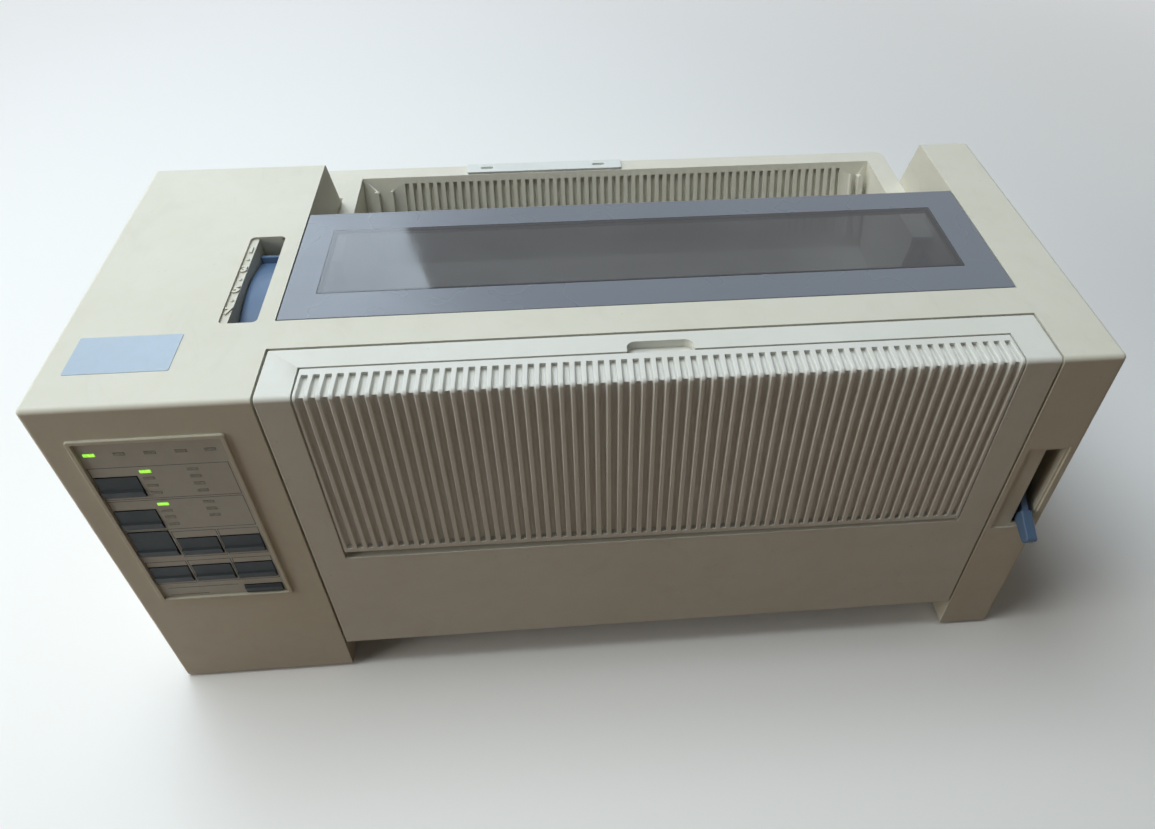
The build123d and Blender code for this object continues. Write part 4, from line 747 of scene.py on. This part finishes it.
@dataclass
class ThicknessScale:
    """Raised numerals and dots along the ledge of the forms thickness lever."""

    numerals: tuple[str, ...] = ("7", "5", "3", "1")
    ledge_x: float = -204.5
    ledge_height: float = 262.0
    first_depth: float = 76.0
    last_depth: float = 137.0
    size_mm: float = 6.0
    relief_mm: float = 0.8
    stroke_mm: float = 0.28
    dot_radius_mm: float = 1.15

    def numeral(self, sign: str, depth: float) -> bpy.types.Object:
        """One raised numeral.

        Args:
            sign: The figure.
            depth: Its middle's depth behind the front.

        Returns:
            The numeral as a mesh.
        """
        bpy.ops.object.text_add(location=place(self.ledge_x, depth, self.ledge_height))
        text = bpy.context.object
        text.data.body = sign
        text.data.size = self.size_mm * MM * 1.35
        text.data.align_x = "CENTER"
        text.data.align_y = "CENTER"
        text.data.extrude = self.relief_mm * MM
        text.data.offset = self.stroke_mm * MM
        text.data.bevel_depth = 0.15 * MM
        text.data.bevel_resolution = 2
        only(text)
        bpy.ops.object.convert(target="MESH")
        return bpy.context.object

    def dot(self, depth: float) -> bpy.types.Object:
        """One raised dot between two numerals."""
        bpy.ops.mesh.primitive_uv_sphere_add(
            segments=20, ring_count=10, radius=self.dot_radius_mm * MM,
            location=place(self.ledge_x, depth, self.ledge_height),
        )
        dot = bpy.context.object
        dot.scale.z = 0.75
        only(dot)
        bpy.ops.object.shade_smooth()
        return dot

    def build(self) -> None:
        """Make the scale in one piece."""
        steps = 2 * len(self.numerals) - 1
        pieces = []
        for number in range(steps):
            depth = self.first_depth + (self.last_depth - self.first_depth) * number / (steps - 1)
            if number % 2:
                pieces.append(self.dot(depth))
            else:
                pieces.append(self.numeral(self.numerals[number // 2], depth))
        scale = join(pieces, "thickness_scale")
        CASE_CREAM.dress(scale)
        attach(scale, "case")
        LOG.info("thickness_scale has %d signs", steps)


@dataclass
class PanelPrint:
    """Fine printed outlines round the groups of keys and lenses, with no lettering."""

    face_depth: float = 0.2
    line_mm: float = 0.38
    proud_mm: float = 0.05
    outlines: tuple[tuple[float, float, float, float], ...] = (
        (-273.4, -199.4, 191.8, 218.4),
        (-273.4, -199.4, 163.4, 190.2),
        (-248.6, -223.4, 136.2, 160.8),
        (-222.2, -199.4, 136.2, 160.8),
        (-273.4, -249.8, 109.6, 132.2),
        (-248.6, -223.4, 109.6, 132.2),
        (-222.2, -199.4, 109.6, 132.2),
    )
    rules: tuple[tuple[float, float, float], ...] = (
        (-268.6, -226.0, 104.8),
        (-270.0, -246.0, 97.6),
    )

    def strip(self, x0: float, x1: float, h0: float, h1: float) -> bpy.types.Object:
        """One printed line as a thin raised strip between two corners."""
        bpy.ops.mesh.primitive_cube_add(size=1)
        strip = bpy.context.object
        strip.location = place((x0 + x1) / 2, self.face_depth, (h0 + h1) / 2)
        strip.scale = ((x1 - x0) * MM, 2 * self.proud_mm * MM, (h1 - h0) * MM)
        return strip

    def build(self) -> None:
        """Make all the outlines in one piece."""
        half = self.line_mm / 2
        strips = []
        for x0, x1, h0, h1 in self.outlines:
            for height in (h0, h1):
                strips.append(self.strip(x0 - half, x1 + half, height - half, height + half))
            for x in (x0, x1):
                strips.append(self.strip(x - half, x + half, h0 - half, h1 + half))
        for x0, x1, height in self.rules:
            strips.append(self.strip(x0, x1, height - half, height + half))
        lines = join(strips, "panel_outlines")
        PRINT_INK.dress(lines)
        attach(lines, "case")
        LOG.info("panel_outlines has %d lines", len(strips))


# ------------------------------------------------------------------------------ studio


@dataclass(frozen=True)
class Lamp:
    """One soft square light that faces the printer."""

    name: str
    spot: tuple[float, float, float]
    size: float
    watts: float
    tint: Colour

    def hang(self, aim: Vector) -> None:
        """Put the lamp in the scene.

        Args:
            aim: The point that it faces.
        """
        data = bpy.data.lights.new(self.name, "AREA")
        data.size = self.size
        data.energy = self.watts
        data.color = self.tint
        lamp = bpy.data.objects.new(self.name, data)
        bpy.context.scene.collection.objects.link(lamp)
        lamp.location = self.spot
        lamp.rotation_euler = (aim - Vector(self.spot)).to_track_quat("-Z", "Y").to_euler()


@dataclass
class Studio:
    """Plain pale floor, soft lights and the camera at the photograph's angle."""

    image_width: int = 1155
    focal_px: float = 873.886
    centre_px: tuple[float, float] = (616.97, 382.11)
    middle_px: tuple[float, float] = (577.5, 414.5)
    sensor_mm: float = 36.0
    camera_mm: tuple[float, float, float] = (-15.67, -483.56, 579.68)
    camera_right: tuple[float, float, float] = (0.99681, -0.07959, 0.00564)
    camera_forward: tuple[float, float, float] = (0.06179, 0.72534, -0.68561)
    floor_mm: float = 6000.0
    floor_colour: Colour = srgb(104, 72, 28)
    floor_worn: Colour = srgb(100, 68, 26)
    floor_seen: Colour = srgb(246, 246, 245)
    sky_level: float = 0.06
    sky_tint: Colour = (1.0, 0.90, 0.76)
    backdrop: Colour = srgb(240, 241, 242)
    fade_reach: tuple[float, float] = (0.75, 2.3)
    aim: tuple[float, float, float] = (0.0, 0.0, 0.15)
    lamps: tuple[Lamp, ...] = (
        Lamp("overhead", (-0.62, 0.14, 2.1), 1.2, 32, (0.88, 0.95, 0.98)),
        Lamp("sheen", (-0.86, 1.5, 1.55), 1.0, 12, (0.74, 0.87, 1.0)),
        Lamp("left_fill", (-2.0, -0.62, 0.95), 1.0, 16, (1.0, 0.965, 0.89)),
    )

    def camera(self) -> None:
        """Make the camera."""
        data = bpy.data.cameras.new("camera")
        data.sensor_width = self.sensor_mm
        data.lens = self.focal_px / self.image_width * self.sensor_mm
        data.shift_x = -(self.centre_px[0] - self.middle_px[0]) / self.image_width
        data.shift_y = (self.centre_px[1] - self.middle_px[1]) / self.image_width
        data.clip_start = 0.02
        data.clip_end = 50
        camera = bpy.data.objects.new("camera", data)
        bpy.context.scene.collection.objects.link(camera)
        right = Vector(self.camera_right).normalized()
        forward = Vector(self.camera_forward)
        forward = (forward - right * forward.dot(right)).normalized()
        up = right.cross(forward)
        turn = Matrix((right, up, -forward)).transposed().to_4x4()
        camera.matrix_world = Matrix.Translation(Vector(self.camera_mm) * MM) @ turn
        bpy.context.scene.camera = camera

    def floor(self) -> None:
        """Make the floor."""
        bpy.ops.mesh.primitive_grid_add(x_subdivisions=8, y_subdivisions=8, size=self.floor_mm * MM)
        floor = bpy.context.object
        floor.name = "floor"
        graph = Graph("floor_paper")
        tone = graph.blend(graph.noise(900, 2), self.floor_colour, self.floor_worn)
        path = graph.tree.nodes.new("ShaderNodeLightPath")
        direct = graph.maths("MAXIMUM", path.outputs["Is Camera Ray"], path.outputs["Is Transmission Ray"])
        seen = graph.maths("MAXIMUM", path.outputs["Is Glossy Ray"], direct)
        graph.set("Base Color", graph.blend(seen, tone, self.floor_seen))
        graph.set("Roughness", 0.85)
        # Far from the printer the floor fades into the backdrop, so that no horizon shows.
        away = graph.tree.nodes.new("ShaderNodeVectorMath")
        away.operation = "LENGTH"
        graph.link(graph.coordinates.outputs["Object"], away.inputs[0])
        fade = graph.maths("MULTIPLY", graph.ramp(away.outputs["Value"], *self.fade_reach), seen)
        backdrop = graph.tree.nodes.new("ShaderNodeEmission")
        backdrop.inputs["Color"].default_value = (*self.backdrop, 1.0)
        faded = graph.tree.nodes.new("ShaderNodeMixShader")
        graph.link(fade, faded.inputs[0])
        graph.link(graph.shader.outputs[0], faded.inputs[1])
        graph.link(backdrop.outputs[0], faded.inputs[2])
        graph.link(faded.outputs[0], graph.output.inputs[0])
        floor.data.materials.append(graph.material)

    def lights(self) -> None:
        """Make the world and the lamps."""
        world = bpy.data.worlds.new("sky")
        bpy.context.scene.world = world
        world.use_nodes = True
        nodes = world.node_tree.nodes
        links = world.node_tree.links
        background = nodes["Background"]
        tint = nodes.new("ShaderNodeMix")
        tint.data_type = "RGBA"
        tint.inputs[MIX_FIRST].default_value = (*self.sky_tint, 1.0)
        tint.inputs[MIX_SECOND].default_value = (*self.backdrop, 1.0)
        links.new(tint.outputs[MIX_RESULT], background.inputs[0])
        path = nodes.new("ShaderNodeLightPath")
        direct = nodes.new("ShaderNodeMath")
        seen = nodes.new("ShaderNodeMath")
        for node in (direct, seen):
            node.operation = "MAXIMUM"
        links.new(path.outputs["Is Camera Ray"], direct.inputs[0])
        links.new(path.outputs["Is Transmission Ray"], direct.inputs[1])
        links.new(direct.outputs[0], seen.inputs[0])
        links.new(path.outputs["Is Glossy Ray"], seen.inputs[1])
        links.new(seen.outputs[0], tint.inputs[0])
        level = nodes.new("ShaderNodeMapRange")
        level.inputs["To Min"].default_value = self.sky_level
        level.inputs["To Max"].default_value = 1.0
        links.new(seen.outputs[0], level.inputs["Value"])
        links.new(level.outputs[0], background.inputs["Strength"])
        for lamp in self.lamps:
            lamp.hang(Vector(self.aim))

    def build(self) -> None:
        """Make the whole studio."""
        self.camera()
        self.floor()
        self.lights()
        bpy.context.scene.view_settings.view_transform = "Standard"


def main() -> None:
    """Load the frame, dress every piece and set up the studio."""
    logging.basicConfig(level=logging.INFO, format="%(name)s: %(message)s")
    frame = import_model()
    CarriedOver({
        "rubber_feet": RUBBER_BLACK,
        "case_screws": STEEL_BRIGHT,
        "name_label": LABEL_FILM,
        "lid_window": WINDOW_CLEAR,
        "panel_overlay": OVERLAY_FILM,
        "indicator_lenses": LENS_UNLIT,
        "indicator_lenses_lit": LENS_LIT,
        "panel_board": BOARD_GREEN,
        "side_frame_left": STEEL_PLATED,
        "side_frame_right": STEEL_PLATED,
        "paper_chute": STEEL_PLATED,
        "platen_bushes": NYLON_PALE,
        "carriage_guide_rod": STEEL_BRIGHT,
        "carriage_front_rail": STEEL_BRIGHT,
        "tractor_support_rod": STEEL_BRIGHT,
        "tractor_drive_shaft": STEEL_BRIGHT,
        "gear_studs": STEEL_BRIGHT,
        "platen_shaft": STEEL_BRIGHT,
        "platen_roller": RUBBER_BLACK,
        "platen_gear": NYLON_PALE,
        "platen_knob": BLACK_PLASTIC,
        "train_gear_upper": NYLON_PALE,
        "train_gear_lower": NYLON_PALE,
        "feed_idler_gear": NYLON_PALE,
        "feed_motor_pinion": STEEL_BRIGHT,
        "tractor_left": BLACK_PLASTIC,
        "tractor_right": BLACK_PLASTIC,
        "tractor_left_door": BLACK_PLASTIC,
        "tractor_right_door": BLACK_PLASTIC,
        "carriage": BLACK_PLASTIC,
        "print_head": HEAD_METAL,
        "belt_drive_pulley": NYLON_PALE,
        "belt_idler_pulley": NYLON_PALE,
        "timing_belt": RUBBER_BLACK,
        "stepper_motors": MOTOR_METAL,
        "ribbon_cartridge": RIBBON_BLACK,
        "main_board": BOARD_GREEN,
        "power_supply": MOTOR_METAL,
        "power_inlet": BLACK_PLASTIC,
        "interface_connector": BLACK_PLASTIC,
        "power_rocker": BLACK_PLASTIC,
    }).dress(frame["nodes"])
    Mouldings().build()
    ThicknessScale().build()
    PanelPrint().build()
    Studio().build()


if __name__ == "__main__":
    main()
